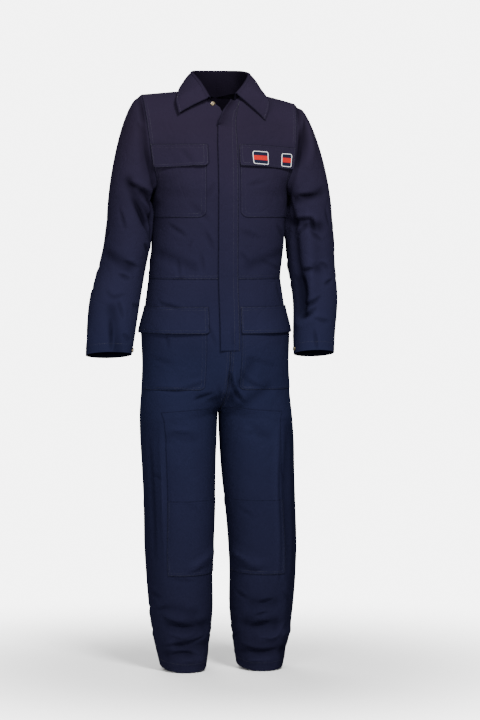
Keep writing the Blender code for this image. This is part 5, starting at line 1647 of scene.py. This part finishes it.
underarm = nearest(bodice_levels, UNDERARM_LEVEL)
crotch_row = nearest(leg_heights, CROTCH_LEVEL)
HEM = .022                              # the hems' single row, from the edge
sewn = {"panels": [], "pockets": stitching}
for side, name in SIDE_NAME.items():
    front, back = skins["front_" + name], skins["back_" + name]
    leg_front, leg_back = skins["leg_front_" + name], skins["leg_back_" + name]
    sleeve = half_turned(skins["sleeve_" + name])
    for inset in DOUBLE_ROW:
        sewn["panels"] += [
            row_along(front, inset, True, slice(underarm, None)),
            row_along(back, inset, True),
            row_across(front, inset, True), row_across(front, inset),
            row_across(back, inset),
            row_along(leg_back, inset, True),
            row_along(leg_front, inset, False, slice(0, crotch_row)),
            row_along(leg_back, inset, False),
            row_along(sleeve, inset),
        ]
    sewn["panels"] += [row_across(leg_front, HEM, True), row_across(leg_back, HEM, True),
                       row_across(sleeve, HEM, True)]
thread = navy_thread()
for name, rows in sewn.items():
    dressed("stitching_" + name, stitch_mesh("stitching_" + name, rows), thread)


# Studio ------------------------------------------------------------------------------
# A plain pale floor of matt paper, fading out away from the suit, and soft light from
# three large panels: a window high in front, a weaker one beside it and one behind.

def aim_at(made, place_at, target):
    made.location = place_at
    made.rotation_euler = (Vector(target) - Vector(place_at)).to_track_quat("-Z", "Y").to_euler()


def soft_light(name, place_at, target, size, power):
    """A square panel of light; its size in metres and its power in watts."""
    lamp = bpy.data.lights.new(name, "AREA")
    lamp.size, lamp.energy = size, power
    aim_at(put(name, lamp), place_at, target)


middle = Vector((0.0, 0.0, -0.73))
soft_light("window", (0.7, -3.2, 2.5), (0, 0, -.55), 1.0, 330)
soft_light("fill", (-1.9, -3.6, 0.0), middle, 1.6, 130)
soft_light("rim", (-0.6, 2.8, 1.6), middle, 2.0, 110)

floor_mesh = bpy.data.meshes.new("floor")
reach, low = 3.0, cad_box[0][2] - 0.002
floor_mesh.from_pydata([(-reach, -reach, low), (reach, -reach, low), (reach, reach, low),
                        (-reach, reach, low)], [], [(0, 1, 2, 3)])
paper, tree, shader = new_material("pale_floor")
where = place(tree, "TexCoord").outputs["Object"]
level = place(tree, "VectorMath", {0: where, 1: (1, 1, 0)}, operation="MULTIPLY").outputs[0]
away = place(tree, "VectorMath", {0: level}, operation="LENGTH").outputs[1]
fade = place(tree, "MapRange", {0: away, 1: 0.3, 2: 1.5, 3: 1.0, 4: 0.0},
             interpolation_type="SMOOTHSTEP").outputs[0]
feed(tree, shader, {"Base Color": (.92, .92, .92, 1), "Roughness": 0.9, "Alpha": fade})
floor_mesh.materials.append(paper)
put("floor", floor_mesh)

world = bpy.data.worlds.new("studio")
world.use_nodes = True
tree = world.node_tree
seen = place(tree, "LightPath").outputs["Is Camera Ray"]
strength = place(tree, "MapRange", {0: seen, 3: 0.55, 4: 6.0}).outputs[0]
feed(tree, tree.nodes["Background"], {0: (1, 1, 1, 1), 1: strength})
bpy.context.scene.world = world

lens = bpy.data.cameras.new("camera")
camera = put("camera", lens)
AZIMUTH, ELEVATION, DISTANCE = radians(-10), radians(3), 8.0
aim = Vector((0.0545, 0.010, -0.695))
away = Vector((sin(AZIMUTH) * cos(ELEVATION), -cos(AZIMUTH) * cos(ELEVATION), sin(ELEVATION)))
aim_at(camera, aim + DISTANCE * away, aim)
lens.lens, lens.sensor_fit, lens.sensor_height = 154, "VERTICAL", 36
lens.sensor_width = 24
bpy.context.scene.camera = camera
